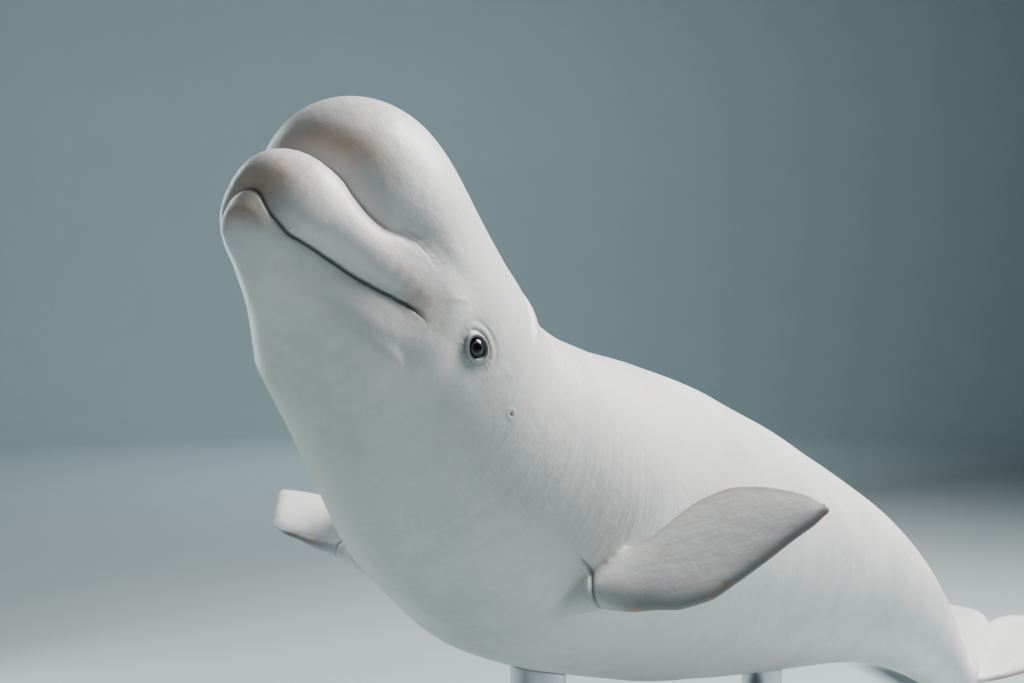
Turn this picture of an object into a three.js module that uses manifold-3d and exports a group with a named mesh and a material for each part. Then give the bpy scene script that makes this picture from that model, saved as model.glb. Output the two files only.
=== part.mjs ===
// Adult beluga whale at life size, a still museum model that swims up to its left over a plain stand.
// Millimetres, +Z up. The head looks along -Y and the whale's own left side is +X.
// The origin is the middle of the underside of the stand's base.
//
// The animal is shaped straight first: s runs back from the tip of the upper lip, y to its left,
// z up. Every piece is cut in that straight shape and then bent along the spine.

import * as THREE from 'three';
import Module from 'manifold-3d';

const wasm = await Module();
wasm.setup();

// Gap that parts neighbouring pieces
const PART_GAP = 0.3;

// Body outline: distance from the lip tip, height of the back, depth of the belly, half width
const BODY_ROWS = [
  [180, 30, 50, 40], [300, 100, 132, 110], [450, 232, 205, 192], [550, 247, 244, 220],
  [700, 253, 296, 270], [900, 276, 350, 323], [1150, 324, 363, 362], [1500, 372, 363, 385],
  [1850, 384, 342, 375], [2200, 356, 306, 334], [2550, 300, 258, 270], [2900, 228, 203, 197],
  [3200, 172, 152, 135], [3450, 122, 106, 90], [3650, 80, 72, 62], [3800, 45, 45, 50],
  [3920, 20, 20, 30],
];
const STOCK_END = 3860;

// Head: ellipsoids by centre (s, z), half lengths (s, y, z) and nose-down tilt in degrees
const MELON = { at: [190, 131], half: [169, 148, 158], tilt: 0 };
const CRANIUM = { at: [400, 48], half: [240, 193, 220], tilt: 0 };
const PALATE = { at: [190, -5], half: [145, 95, 50], tilt: 3 };
const CHIN = { at: [205, -71], half: [160, 57, 37], tilt: -3 };
const THROAT = { at: [400, -69], half: [250, 119, 94], tilt: -11 };

// Rolled flesh of the lips: s, y, z and radius from the tip to the corner, mirrored to the right
const UPPER_LIP = [
  [40, 0, 2, 42], [56, 33, -2, 46], [95, 45, -10, 53], [150, 61, -14, 55],
  [225, 96, -12, 46], [290, 124, -16, 30],
];
const LOWER_LIP = [[38, 0, -60, 24], [90, 7, -72, 27], [170, 24, -73, 31], [270, 64, -69, 47]];

// How far flesh round the line of the mouth and round the crease under the melon is lifted:
// distance from the lip tip, height of the line, lift
const MOUTH_LIFT = [
  [0, -41, -4], [8, -43, -7], [17, -54, -15], [29, -65, -21], [53, -71, -18], [79, -67, -6],
  [103, -63, 2], [141, -59, 8], [178, -53, 8], [212, -47, 8], [247, -46, 6], [330, -45, 4], [400, -50, 0],
];
const CREASE_LIFT = [
  [0, 55, 8], [38, 62, 15], [57, 60, 15], [74, 52, 14], [89, 41, 8], [113, 30, 5], [140, 25, 8],
  [165, 30, 19], [197, 35, 27], [240, 20, 26], [300, 0, 10], [360, 0, 0],
];
const LIFT_REACH = 45;
const LIFT_REACH_BELOW_MOUTH = 22;

// Low ridge along the back, where other whales carry a fin
const RIDGE = { middle: 2060, half: 680, width: 60, height: 36 };

// Mouth: its line follows the lifted flesh as far as its corner, with a groove between the lips
const MOUTH_CORNER = 262;
const GROOVE_DEPTH = 14;
const GROOVE_WIDTH = 7;

// Cut that parts the melon: the crease under it and on behind it to the forehead, as s and z
const CREASE_ROWS = [
  [-60, 52], [20, 58], [57, 60], [74, 52], [89, 41], [113, 30], [140, 26], [165, 29], [197, 33],
  [240, 33], [275, 52], [310, 95], [335, 150], [348, 220], [352, 420],
];

// Eye and blowhole
const EYE = { s: 353, z: -20, ball: 17, deep: 10, lid: 21, lidThick: 4.5 };
const BLOWHOLE = { s: 385, halfWidth: 34, bow: 14, slit: 5, deep: 16 };

// Stations where the trunk is parted
const NECK_START = 470;
const CHEST_START = 730;
const BELLY_START = 1350;
const LOIN_START = 2020;
const STOCK_START = 2720;
const FLUKE_START = 3650;

// Flipper outline: distance out from its root, then forward and rear edges, and thickness
const FLIPPER_ROWS = [
  [-89, 45, -53, 62], [-30, 47, -54, 60], [10, 51, -54, 52], [39, 61, -54, 44], [74, 73, -54, 38],
  [113, 80, -64, 34], [158, 91, -89, 31], [202, 89, -109, 28], [251, 69, -116, 25], [301, 44, -104, 22],
  [350, 23, -80, 18], [394, 6, -47, 14], [418, -5, -24, 10],
];
const FLIPPER_ROOT = { s: 774, z: -192 };
// Direction of each flipper at its root: forward and upward share of its span, and how far the
// front edge is turned down, in degrees
const FLIPPER_LEFT = { forward: 0.078, up: 0.344, twist: 67 };
const FLIPPER_RIGHT = { forward: -0.333, up: 0.246, twist: 25.5 };
const FLIPPER_CUT = 22;
const FIN_CLEARANCE = 0.8;

// Fluke outline: distance out from the middle, front edge, rear edge and thickness
const FLUKE_ROWS = [
  [-12, 3600, 3990, 76], [0, 3602, 4000, 76], [28, 3622, 4034, 72], [75, 3662, 4062, 58],
  [145, 3724, 4078, 46], [220, 3786, 4080, 38], [300, 3850, 4068, 30], [375, 3920, 4052, 22],
  [435, 3982, 4042, 15], [462, 4014, 4040, 10],
];

// Pose: the spine bends in four stretches. Turns are in degrees, from the chest to the head
// for the neck and from the chest to the tail for the rest.
const SPINE_ANCHOR = { s: 950, at: [-5, -672, 1140], yaw: 4.3, pitch: 18.6, roll: -1.5 };
const NECK_BEND = { from: 420, to: 800, up: 22.0, left: -0.6, roll: 3.7 };
const TRUNK_BEND = { from: 1100, to: 2600, up: 2.6, left: -24.4 };
const TAIL_BEND = { from: 2300, to: 3500, up: -22.3, left: 7.1 };
const FLUKE_BEND = { from: 3500, to: 3800, up: 67.2, left: 0 };

// Stand
const BASE = { length: 1700, width: 900, thick: 36, corner: 60, bevel: 4 };
const ROD_RADIUS = 24;
const ROD_STATIONS = { front: 1130, rear: 2280 };
const COLLAR = { radius: 60, height: 16 };
const CUP = { radius: 58, height: 44 };

const DEG = Math.PI / 180;

// Blending of distances

function smoothMin(a, b, k) {
  const h = Math.max(k - Math.abs(a - b), 0) / k;
  return Math.min(a, b) - h * h * k * 0.25;
}

function clamp01(t) {
  return Math.min(1, Math.max(0, t));
}

function lerp(a, b, t) {
  return a + (b - a) * t;
}

function smoothStep(x, low, high) {
  const t = clamp01((x - low) / (high - low));
  return t * t * (3 - 2 * t);
}

function bell(x, width) {
  return Math.exp(-((x / width) ** 2));
}

// A curve through rows of [x, value], without overshoot
function monotone(rows, column) {
  const n = rows.length;
  const step = [];
  for (let i = 0; i < n - 1; i++) {
    step.push((rows[i + 1][column] - rows[i][column]) / (rows[i + 1][0] - rows[i][0]));
  }
  const slope = [step[0]];
  for (let i = 1; i < n - 1; i++) {
    const [a, b] = [step[i - 1], step[i]];
    slope.push(a * b <= 0 ? 0 : (2 * a * b) / (a + b));
  }
  slope.push(step[n - 2]);
  return (x) => {
    const u = Math.min(rows[n - 1][0], Math.max(rows[0][0], x));
    let i = 0;
    while (i < n - 2 && u > rows[i + 1][0]) i++;
    const h = rows[i + 1][0] - rows[i][0];
    const t = (u - rows[i][0]) / h;
    const [t2, t3] = [t * t, t * t * t];
    return (2 * t3 - 3 * t2 + 1) * rows[i][column] + (t3 - 2 * t2 + t) * h * slope[i]
      + (-2 * t3 + 3 * t2) * rows[i + 1][column] + (t3 - t2) * h * slope[i + 1];
  };
}

// Distances in the straight shape

function ellipsoid(s, y, z, { at, half, tilt }) {
  const [c, d] = [Math.cos(tilt * DEG), Math.sin(tilt * DEG)];
  const [ds, dz] = [s - at[0], z - at[1]];
  const p = [ds * c + dz * d, y, -ds * d + dz * c];
  const k0 = Math.hypot(p[0] / half[0], p[1] / half[1], p[2] / half[2]);
  const k1 = Math.hypot(p[0] / half[0] ** 2, p[1] / half[1] ** 2, p[2] / half[2] ** 2) + 1e-12;
  return k0 * (k0 - 1) / k1;
}

// Rows of a lip carried along a smooth curve, four to each stretch
function lipBeads(rows) {
  const mirrored = [rows[1][0], -rows[1][1], rows[1][2], rows[1][3]];
  const last = rows[rows.length - 1];
  const beyond = last.map((v, i) => 2 * v - rows[rows.length - 2][i]);
  const all = [mirrored, ...rows, beyond];
  const beads = [];
  for (let i = 1; i < all.length - 2; i++) {
    for (const t of [0, 0.25, 0.5, 0.75]) {
      beads.push(all[i].map((p1, c) => {
        const [p0, p2, p3] = [all[i - 1][c], all[i + 1][c], all[i + 2][c]];
        return 0.5 * (2 * p1 + (p2 - p0) * t + (2 * p0 - 5 * p1 + 4 * p2 - p3) * t * t
          + (3 * p1 - p0 - 3 * p2 + p3) * t ** 3);
      }));
    }
  }
  beads.push(last);
  return beads;
}

function beadString(s, y, z, beads, count) {
  let best = Infinity;
  for (let i = 0; i < count; i++) {
    const [a, b] = [beads[i], beads[i + 1]];
    const [bs, by, bz] = [b[0] - a[0], b[1] - a[1], b[2] - a[2]];
    const [ps, py, pz] = [s - a[0], y - a[1], z - a[2]];
    const t = clamp01((ps * bs + py * by + pz * bz) / (bs * bs + by * by + bz * bz));
    const d = Math.hypot(ps - t * bs, py - t * by, pz - t * bz) - lerp(a[3], b[3], t);
    if (d < best) best = d;
  }
  return best;
}

const upperBeads = lipBeads(UPPER_LIP);
const lowerBeads = lipBeads(LOWER_LIP);

function lipRoll(s, y, z, beads, k) {
  const near = beadString(s, Math.abs(y), z, beads, beads.length - 1);
  const far = beadString(s, -Math.abs(y), z, beads, 6);
  return smoothMin(near, far, k);
}

const mouthLine = monotone(MOUTH_LIFT, 1);
const mouthLift = monotone(MOUTH_LIFT, 2);
const creaseLine = monotone(CREASE_LIFT, 1);
const creaseLift = monotone(CREASE_LIFT, 2);

// Height that a place of the head had before its flesh was lifted
function beforeLift(s, y, z) {
  const aside = smoothStep(Math.abs(y), 4, 30);
  const behindTip = clamp01((s - 30) / 30);
  const aboveMouth = z - mouthLine(s);
  const reach = aboveMouth > 0 ? LIFT_REACH : LIFT_REACH_BELOW_MOUTH;
  const atMouth = mouthLift(s) * Math.max(aside, behindTip) * bell(aboveMouth, reach);
  const atCrease = creaseLift(s) * bell(z - creaseLine(s), LIFT_REACH);
  return z - atMouth - atCrease;
}

function headDistance(s, y, heightNow) {
  const z = beforeLift(s, y, heightNow);
  const skull = smoothMin(ellipsoid(s, y, z, MELON), ellipsoid(s, y, z, CRANIUM), 100);
  const upper = smoothMin(lipRoll(s, y, z, upperBeads, 30), ellipsoid(s, y, z, PALATE), 30);
  let lower = smoothMin(lipRoll(s, y, z, lowerBeads, 50), ellipsoid(s, y, z, CHIN), 50);
  lower = smoothMin(lower, ellipsoid(s, y, z, THROAT), 120);
  const creaseBlend = 12 + 50 * clamp01((s - 160) / 140);
  const mouthBlend = 4 + 50 * Math.max(clamp01((s - 220) / 80), smoothStep(-heightNow, 80, 120));
  return smoothMin(smoothMin(skull, upper, creaseBlend), lower, mouthBlend);
}

const back = monotone(BODY_ROWS, 1);
const belly = monotone(BODY_ROWS, 2);
const flank = monotone(BODY_ROWS, 3);

function trunkDistance(s, y, z) {
  const [top, bottom, half] = [back(s), -belly(s), flank(s)];
  const tall = (top - bottom) / 2;
  const r = Math.hypot(y / half, (z - (top + bottom) / 2) / tall);
  const along = clamp01(1 - ((s - RIDGE.middle) / RIDGE.half) ** 2);
  const ridge = z > 0 ? RIDGE.height * along * along * bell(y, RIDGE.width) : 0;
  return Math.max((r - 1) * Math.min(half, tall) - ridge, BODY_ROWS[0][0] - s);
}

const NECK_BLEND = 60;
const HEAD_REACH = 900;

function skinDistance(s, y, z) {
  const head = s < HEAD_REACH ? headDistance(s, y, z) : Infinity;
  const trunk = trunkDistance(s, y, z);
  return head === Infinity ? trunk : smoothMin(head, trunk, NECK_BLEND);
}

// The outermost crossing of the skin along a ray, or a point that stands proud of it
const CAST_REACH = 620;
const CAST_STEP = 12;
const CAST_HALVINGS = 18;

function castToSkin(origin, direction, proud = 0) {
  const along = (t) => origin.map((o, i) => o + direction[i] * t);
  const at = (t) => skinDistance(...along(t));
  let outer = CAST_REACH;
  let inner = 0;
  for (let t = CAST_REACH - CAST_STEP; t > 0; t -= CAST_STEP) {
    if (at(t) < 0) {
      inner = t;
      break;
    }
    outer = t;
  }
  for (let i = 0; i < CAST_HALVINGS; i++) {
    const middle = (inner + outer) / 2;
    if (at(middle) < 0) inner = middle;
    else outer = middle;
  }
  return along((inner + outer) / 2 + proud);
}

// Solids

function solidFrom(points, triangles) {
  return new wasm.Manifold(new wasm.Mesh({
    numProp: 3,
    vertProperties: Float32Array.from(points.flat()),
    triVerts: Uint32Array.from(triangles.flat()),
  }));
}

// A closed solid through rings of equal length, with a point or a fan at each end
function loft(rings, firstPoint, lastPoint) {
  const n = rings[0].length;
  const points = rings.flat();
  const triangles = [];
  for (let i = 0; i < rings.length - 1; i++) {
    for (let k = 0; k < n; k++) {
      const [a, b] = [i * n + k, i * n + (k + 1) % n];
      triangles.push([a, b, b + n], [a, b + n, a + n]);
    }
  }
  points.push(firstPoint, lastPoint);
  const [first, last] = [points.length - 2, points.length - 1];
  const end = (rings.length - 1) * n;
  for (let k = 0; k < n; k++) {
    triangles.push([first, (k + 1) % n, k], [last, end + k, end + (k + 1) % n]);
  }
  const solid = solidFrom(points, triangles);
  if (solid.volume() >= 0) return solid;
  return solidFrom(points, triangles.map(([a, b, c]) => [a, c, b]));
}

function mean(ring) {
  return [0, 1, 2].map((i) => ring.reduce((sum, p) => sum + p[i], 0) / ring.length);
}

// Rays fan out round the face, then leave the middle line square to it, ring after ring
const SKIN_SIDES = 40;
const HEAD_RINGS = 22;
const FAN_CENTRE = [220, 0, -10];
const FAN_FADE = 380;
const HEAD_STEP = 32;
const TRUNK_STEP = 100;
const HEAD_END = 600;

function wholeSkin(proud = 0) {
  const angles = Array.from({ length: SKIN_SIDES }, (_, k) => k * 2 * Math.PI / SKIN_SIDES);
  const rings = [];
  for (let i = 1; i <= HEAD_RINGS; i++) {
    const a = (i / HEAD_RINGS) * Math.PI / 2;
    rings.push(angles.map((t) => castToSkin(FAN_CENTRE,
      [-Math.cos(a), Math.sin(a) * Math.cos(t), Math.sin(a) * Math.sin(t)], proud)));
  }
  let s = FAN_CENTRE[0];
  while (s < STOCK_END) {
    s = Math.min(STOCK_END, s + (s < HEAD_END ? HEAD_STEP : TRUNK_STEP));
    const z = lerp(FAN_CENTRE[2], 0, clamp01((s - FAN_CENTRE[0]) / FAN_FADE));
    rings.push(angles.map((t) => castToSkin([s, 0, z], [0, Math.cos(t), Math.sin(t)], proud)));
  }
  return loft(rings, castToSkin(FAN_CENTRE, [-1, 0, 0], proud), mean(rings[rings.length - 1]));
}

// A fin section: points round a rounded wedge, thickest a third of the way back
const FIN_SIDES = 16;
const TIP_ROUND = 6;

function finSection(front, rear, thick) {
  return Array.from({ length: FIN_SIDES }, (_, k) => {
    const a = (k + 0.5) * 2 * Math.PI / FIN_SIDES;
    const x = (1 - Math.cos(a)) / 2;
    return [lerp(front, rear, x), (thick / 2) * Math.sin(a) * (1.2 - 0.5 * x)];
  });
}

function flipper(direction, side) {
  const { forward, up, twist } = direction;
  const out = Math.sqrt(1 - forward * forward - up * up);
  const span = new THREE.Vector3(-forward, out * side, up);
  const straight = new THREE.Vector3(-1, 0, 0).projectOnPlane(span).normalize();
  const down = new THREE.Vector3().crossVectors(span, straight).multiplyScalar(-side);
  const lead = straight.clone().multiplyScalar(Math.cos(twist * DEG));
  lead.addScaledVector(down, Math.sin(twist * DEG));
  const face = new THREE.Vector3().crossVectors(span, lead).multiplyScalar(-side);
  const root = castToSkin([FLIPPER_ROOT.s, 0, FLIPPER_ROOT.z], [0, side, 0]);
  const place = (u, c, w) => new THREE.Vector3(...root)
    .addScaledVector(span, u).addScaledVector(lead, c).addScaledVector(face, w).toArray();
  const rings = FLIPPER_ROWS.map(([u, front, rear, thick]) => finSection(front, rear, thick)
    .map(([c, w]) => place(u, c, w)));
  const [lastRow] = FLIPPER_ROWS.slice(-1);
  const tip = place(lastRow[0] + TIP_ROUND, (lastRow[1] + lastRow[2]) / 2, 0);
  const solid = loft(rings, mean(rings[0]), tip);
  return { solid, root, span, lead, face };
}

function flukeBlade(side) {
  const rings = FLUKE_ROWS.map(([y, front, rear, thick]) => finSection(front, rear, thick)
    .map(([s, w]) => [s, y * side, w]));
  const [lastRow] = FLUKE_ROWS.slice(-1);
  const tip = [(lastRow[1] + lastRow[2]) / 2, (lastRow[0] + TIP_ROUND) * side, 0];
  return loft(rings, mean(rings[0]), tip);
}

// Thin cutting sheets

// A sheet that follows rows of [s, z], runs from y0 to y1 and is as thick as the parting gap
function foldedSheet(rows, y0, y1) {
  const ring = (y) => {
    const upper = [];
    const lower = [];
    rows.forEach(([s, z], i) => {
      const a = rows[Math.max(0, i - 1)];
      const b = rows[Math.min(rows.length - 1, i + 1)];
      const length = Math.hypot(b[0] - a[0], b[1] - a[1]);
      const n = [-(b[1] - a[1]) / length, (b[0] - a[0]) / length];
      upper.push([s + n[0] * PART_GAP / 2, y, z + n[1] * PART_GAP / 2]);
      lower.unshift([s - n[0] * PART_GAP / 2, y, z - n[1] * PART_GAP / 2]);
    });
    return [...upper, ...lower];
  };
  return sheetLoft([ring(y0), ring(y1)]);
}

function block(s0, s1, y0, y1, z0, z1) {
  const box = new THREE.BoxGeometry(s1 - s0, y1 - y0, z1 - z0).toNonIndexed();
  const at = [(s0 + s1) / 2, (y0 + y1) / 2, (z0 + z1) / 2];
  return fromGeometry(box.translate(...at));
}

// A solid from a closed geometry, with its shared corners merged
function fromGeometry(geometry) {
  const p = geometry.attributes.position;
  const index = geometry.index;
  const seen = new Map();
  const points = [];
  const corner = (i) => {
    const v = [p.getX(i), p.getY(i), p.getZ(i)];
    const key = v.map((x) => Math.round(x * 1000)).join(' ');
    if (!seen.has(key)) {
      seen.set(key, points.length);
      points.push(v);
    }
    return seen.get(key);
  };
  const triangles = [];
  const count = index ? index.count : p.count;
  for (let i = 0; i < count; i += 3) {
    const t = [0, 1, 2].map((j) => corner(index ? index.getX(i + j) : i + j));
    if (t[0] !== t[1] && t[1] !== t[2] && t[0] !== t[2]) triangles.push(t);
  }
  return solidFrom(points, triangles);
}

function largest(solid) {
  return solid.decompose().sort((a, b) => b.volume() - a.volume())[0];
}

// The groove of the mouth: a sheet fanned out from inside the head, widening towards the skin
const MOUTH_SPOKES = 40;
const MOUTH_FAN_BACK = 20;
const MOUTH_FAN_INNER = 18;
const MOUTH_SEARCH = { from: 60, to: 330, step: 4 };
const MOUTH_OVERRUN = 40;

function mouthSheet() {
  const middle = MOUTH_CORNER + MOUTH_FAN_BACK;
  const rings = [];
  for (let j = 0; j <= MOUTH_SPOKES; j++) {
    const a = lerp(-Math.PI / 2, Math.PI / 2, j / MOUTH_SPOKES);
    const [forward, aside] = [Math.cos(a), Math.sin(a)];
    let reach = 0;
    for (let r = MOUTH_SEARCH.from; r < MOUTH_SEARCH.to; r += MOUTH_SEARCH.step) {
      const s = middle - forward * r;
      if (skinDistance(s, aside * r, mouthLine(s)) < 0) reach = r;
    }
    const upper = [];
    const lower = [];
    const steps = [
      [MOUTH_FAN_INNER, PART_GAP], [reach - GROOVE_DEPTH, PART_GAP],
      [reach, GROOVE_WIDTH], [reach + MOUTH_OVERRUN, GROOVE_WIDTH * 2],
    ];
    for (const [r, thick] of steps) {
      const s = middle - forward * r;
      const z = mouthLine(s);
      upper.push([s, aside * r, z + thick / 2]);
      lower.unshift([s, aside * r, z - thick / 2]);
    }
    rings.push([...upper, ...lower]);
  }
  return sheetLoft(rings);
}

// A solid through flat outlines, each an upper run and the lower run back, closed at both ends
function sheetLoft(rings) {
  const n = rings[0].length;
  const half = n / 2;
  const points = rings.flat();
  const triangles = [];
  for (let i = 0; i < rings.length - 1; i++) {
    for (let k = 0; k < n; k++) {
      const [a, b] = [i * n + k, i * n + (k + 1) % n];
      if (k < half) triangles.push([a, b, b + n], [a, b + n, a + n]);
      else triangles.push([a, b, a + n], [b, b + n, a + n]);
    }
  }
  const end = (rings.length - 1) * n;
  for (let k = 0; k < half - 1; k++) {
    const [a, b, c, d] = [k, k + 1, n - 2 - k, n - 1 - k];
    triangles.push([a, c, b], [a, d, c], [end + a, end + b, end + c], [end + a, end + c, end + d]);
  }
  const solid = solidFrom(points, triangles);
  if (solid.volume() > 0) return solid;
  return solidFrom(points, triangles.map(([a, b, c]) => [a, c, b]));
}

// Blowhole: a crescent slit across the top of the head, bowed forward at its ends
const SLIT_STEPS = 12;
const SLIT_ABOVE = 25;
const SLIT_FLARE = 1.5;

function blowholeCut() {
  const { s: station, halfWidth, bow, slit, deep } = BLOWHOLE;
  const top = castToSkin([station, 0, 0], [0, 0, 1])[2];
  const rings = [];
  for (let j = 0; j <= SLIT_STEPS; j++) {
    const u = lerp(-1, 1, j / SLIT_STEPS);
    const s = station - bow * u * u;
    const y = u * halfWidth;
    const half = (slit / 2) * Math.sqrt(Math.max(0.04, 1 - u * u));
    const wide = half * SLIT_FLARE;
    const [high, low] = [top + SLIT_ABOVE, top - deep];
    rings.push([[s - wide, y, high], [s + wide, y, high], [s + half, y, low], [s - half, y, low]]);
  }
  return loft(rings, mean(rings[0]), mean(rings[SLIT_STEPS]));
}

// Eye: the ball, the socket round it and the ring of the lids on the skin
const NORMAL_STEP = 6;

function eyeParts(side) {
  const onSkin = (ds, dz) => new THREE.Vector3(...castToSkin([EYE.s + ds, 0, EYE.z + dz], [0, side, 0]));
  const skin = onSkin(0, 0);
  const normal = onSkin(NORMAL_STEP, 0).sub(skin).cross(onSkin(0, NORMAL_STEP).sub(skin)).normalize();
  if (normal.y * side < 0) normal.negate();
  const centre = skin.clone().addScaledVector(normal, -EYE.deep);
  const turn = new THREE.Quaternion().setFromUnitVectors(new THREE.Vector3(0, 0, 1), normal);
  const ball = (radius) => fromGeometry(new THREE.IcosahedronGeometry(radius, 3).translate(...centre));
  const ring = new THREE.TorusGeometry(EYE.lid, EYE.lidThick, 8, 24);
  ring.scale(1, 0.8, 1).applyQuaternion(turn).translate(...skin);
  return { eye: ball(EYE.ball), socket: ball(EYE.ball + PART_GAP), lids: fromGeometry(ring) };
}

// The bend of the spine

const SPINE_START = -100;
const SPINE_END = 4200;

function spineFrames() {
  const step = 10;
  const share = (s, { from, to }) => {
    const t = clamp01((s - from) / (to - from));
    return 6 * t * (1 - t) / (to - from) * step * DEG;
  };
  // Columns of a frame are forward, left and up
  const turned = (frame, roll, up, left) => {
    const axis = new THREE.Vector3(roll, -up, left);
    const angle = axis.length();
    if (angle === 0) return frame.clone();
    return frame.clone().multiply(new THREE.Matrix4().makeRotationAxis(axis.normalize(), angle));
  };
  const [ahead, left, up] = [[0, -1, 0], [1, 0, 0], [0, 0, 1]].map((v) => new THREE.Vector3(...v));
  const start = new THREE.Matrix4().makeBasis(ahead, left, up);
  const { yaw, pitch, roll } = SPINE_ANCHOR;
  const turn = new THREE.Euler(roll * DEG, -pitch * DEG, yaw * DEG, 'ZYX');
  start.multiply(new THREE.Matrix4().makeRotationFromEuler(turn));
  const forward = (frame) => new THREE.Vector3().setFromMatrixColumn(frame, 0);
  const rows = [{ s: SPINE_ANCHOR.s, at: new THREE.Vector3(...SPINE_ANCHOR.at), frame: start }];
  for (let s = SPINE_ANCHOR.s; s > SPINE_START; s -= step) {
    const { at, frame } = rows[0];
    const w = share(s - step / 2, NECK_BEND);
    const next = turned(frame, NECK_BEND.roll * w, NECK_BEND.up * w, NECK_BEND.left * w);
    rows.unshift({ s: s - step, at: at.clone().addScaledVector(forward(next), step), frame: next });
  }
  for (let s = SPINE_ANCHOR.s; s < SPINE_END; s += step) {
    const { at, frame } = rows[rows.length - 1];
    let lifting = 0;
    let swinging = 0;
    for (const stretch of [TRUNK_BEND, TAIL_BEND, FLUKE_BEND]) {
      const w = share(s + step / 2, stretch);
      lifting -= stretch.up * w;
      swinging += stretch.left * w;
    }
    const next = turned(frame, 0, lifting, swinging);
    rows.push({ s: s + step, at: at.clone().addScaledVector(forward(next), -step), frame: next });
  }
  return rows;
}

const spine = spineFrames();

function bend([s, y, z]) {
  const step = spine[1].s - spine[0].s;
  const i = Math.min(spine.length - 2, Math.max(0, Math.floor((s - spine[0].s) / step)));
  const t = (s - spine[i].s) / step;
  const at = (row) => row.at.clone()
    .addScaledVector(new THREE.Vector3().setFromMatrixColumn(row.frame, 1), y)
    .addScaledVector(new THREE.Vector3().setFromMatrixColumn(row.frame, 2), z);
  return at(spine[i]).lerp(at(spine[i + 1]), t).toArray();
}

// The same solid with each of its points moved by a function
function moved(solid, move) {
  const { numProp, vertProperties, triVerts } = solid.getMesh();
  const points = [];
  for (let i = 0; i < vertProperties.length; i += numProp) {
    points.push(move([vertProperties[i], vertProperties[i + 1], vertProperties[i + 2]]));
  }
  const triangles = [];
  for (let i = 0; i < triVerts.length; i += 3) {
    triangles.push([triVerts[i], triVerts[i + 1], triVerts[i + 2]]);
  }
  const result = solidFrom(points, triangles);
  if (result.volume() > 0) return result;
  return solidFrom(points, triangles.map(([a, b, c]) => [a, c, b]));
}

// Parting the animal

const WIDE = 700;
const AHEAD = -200;
const BEHIND = 4400;

function between(solid, from, to) {
  return largest(solid.intersect(block(from + PART_GAP / 2, to - PART_GAP / 2, -WIDE, WIDE, -WIDE, WIDE)));
}

const eyes = { left: eyeParts(1), right: eyeParts(-1) };
const flippers = { left: flipper(FLIPPER_LEFT, 1), right: flipper(FLIPPER_RIGHT, -1) };

let whole = wholeSkin();
whole = whole.add(flukeBlade(1)).add(flukeBlade(-1));
whole = whole.add(eyes.left.lids).add(eyes.right.lids);
whole = whole.subtract(eyes.left.socket).subtract(eyes.right.socket).subtract(blowholeCut());

// The flippers part from the chest on a flat face square to their span
function flipperPieces({ solid, root, span, lead, face }) {
  const basis = new THREE.Matrix4().makeBasis(span, lead, face);
  if (basis.determinant() < 0) basis.makeBasis(span, lead, face.clone().negate());
  const slab = (from, to) => {
    const box = new THREE.BoxGeometry(to - from, WIDE, WIDE).translate((from + to) / 2, 0, 0);
    return fromGeometry(box.applyMatrix4(basis).translate(...root));
  };
  const stub = largest(solid.intersect(slab(-WIDE, FLIPPER_CUT)));
  const blade = largest(solid.intersect(slab(FLIPPER_CUT + PART_GAP, WIDE)));
  return { stub, blade };
}
const fins = { left: flipperPieces(flippers.left), right: flipperPieces(flippers.right) };
whole = whole.add(fins.left.stub).add(fins.right.stub);
const clearSkin = wholeSkin(FIN_CLEARANCE);
for (const side of ['left', 'right']) {
  fins[side].blade = largest(fins[side].blade.subtract(clearSkin));
}

const headBlock = between(whole, AHEAD, NECK_START);
const creaseSheet = foldedSheet(CREASE_ROWS, -WIDE, WIDE);
const [upperPiece, lowerPiece] = headBlock.subtract(creaseSheet).decompose()
  .sort((a, b) => b.volume() - a.volume()).slice(0, 2)
  .sort((a, b) => b.boundingBox().max[2] - a.boundingBox().max[2]);
const jaws = between(lowerPiece, AHEAD, MOUTH_CORNER).subtract(mouthSheet()).decompose()
  .sort((a, b) => b.volume() - a.volume()).slice(0, 2)
  .sort((a, b) => b.boundingBox().max[2] - a.boundingBox().max[2]);
const tail = between(whole, FLUKE_START, BEHIND);

const flesh = {
  melon: upperPiece,
  upper_jaw: jaws[0],
  lower_jaw: jaws[1],
  head: between(lowerPiece, MOUTH_CORNER, NECK_START + PART_GAP),
  neck: between(whole, NECK_START, CHEST_START),
  chest: between(whole, CHEST_START, BELLY_START),
  belly: between(whole, BELLY_START, LOIN_START),
  loin: between(whole, LOIN_START, STOCK_START),
  tail_stock: between(whole, STOCK_START, FLUKE_START),
  fluke_left: largest(tail.intersect(block(STOCK_START, BEHIND, PART_GAP / 2, WIDE, -WIDE, WIDE))),
  fluke_right: largest(tail.intersect(block(STOCK_START, BEHIND, -WIDE, -PART_GAP / 2, -WIDE, WIDE))),
  flipper_left: fins.left.blade,
  flipper_right: fins.right.blade,
};

// Stand

function roundedPlate({ length, width, thick, corner, bevel }) {
  const [x, y] = [width / 2 - bevel, length / 2 - bevel];
  const shape = new THREE.Shape();
  const r = corner - bevel;
  shape.moveTo(-x + r, -y);
  shape.lineTo(x - r, -y);
  shape.absarc(x - r, -y + r, r, -Math.PI / 2, 0);
  shape.lineTo(x, y - r);
  shape.absarc(x - r, y - r, r, 0, Math.PI / 2);
  shape.lineTo(-x + r, y);
  shape.absarc(-x + r, y - r, r, Math.PI / 2, Math.PI);
  shape.lineTo(-x, -y + r);
  shape.absarc(-x + r, -y + r, r, Math.PI, Math.PI * 1.5);
  const plate = new THREE.ExtrudeGeometry(shape, {
    depth: thick - 2 * bevel,
    bevelEnabled: true,
    bevelThickness: bevel,
    bevelSize: bevel,
    bevelSegments: 1,
    curveSegments: 6,
  });
  return plate.translate(0, 0, bevel);
}

const ROUND_SIDES = 32;

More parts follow.
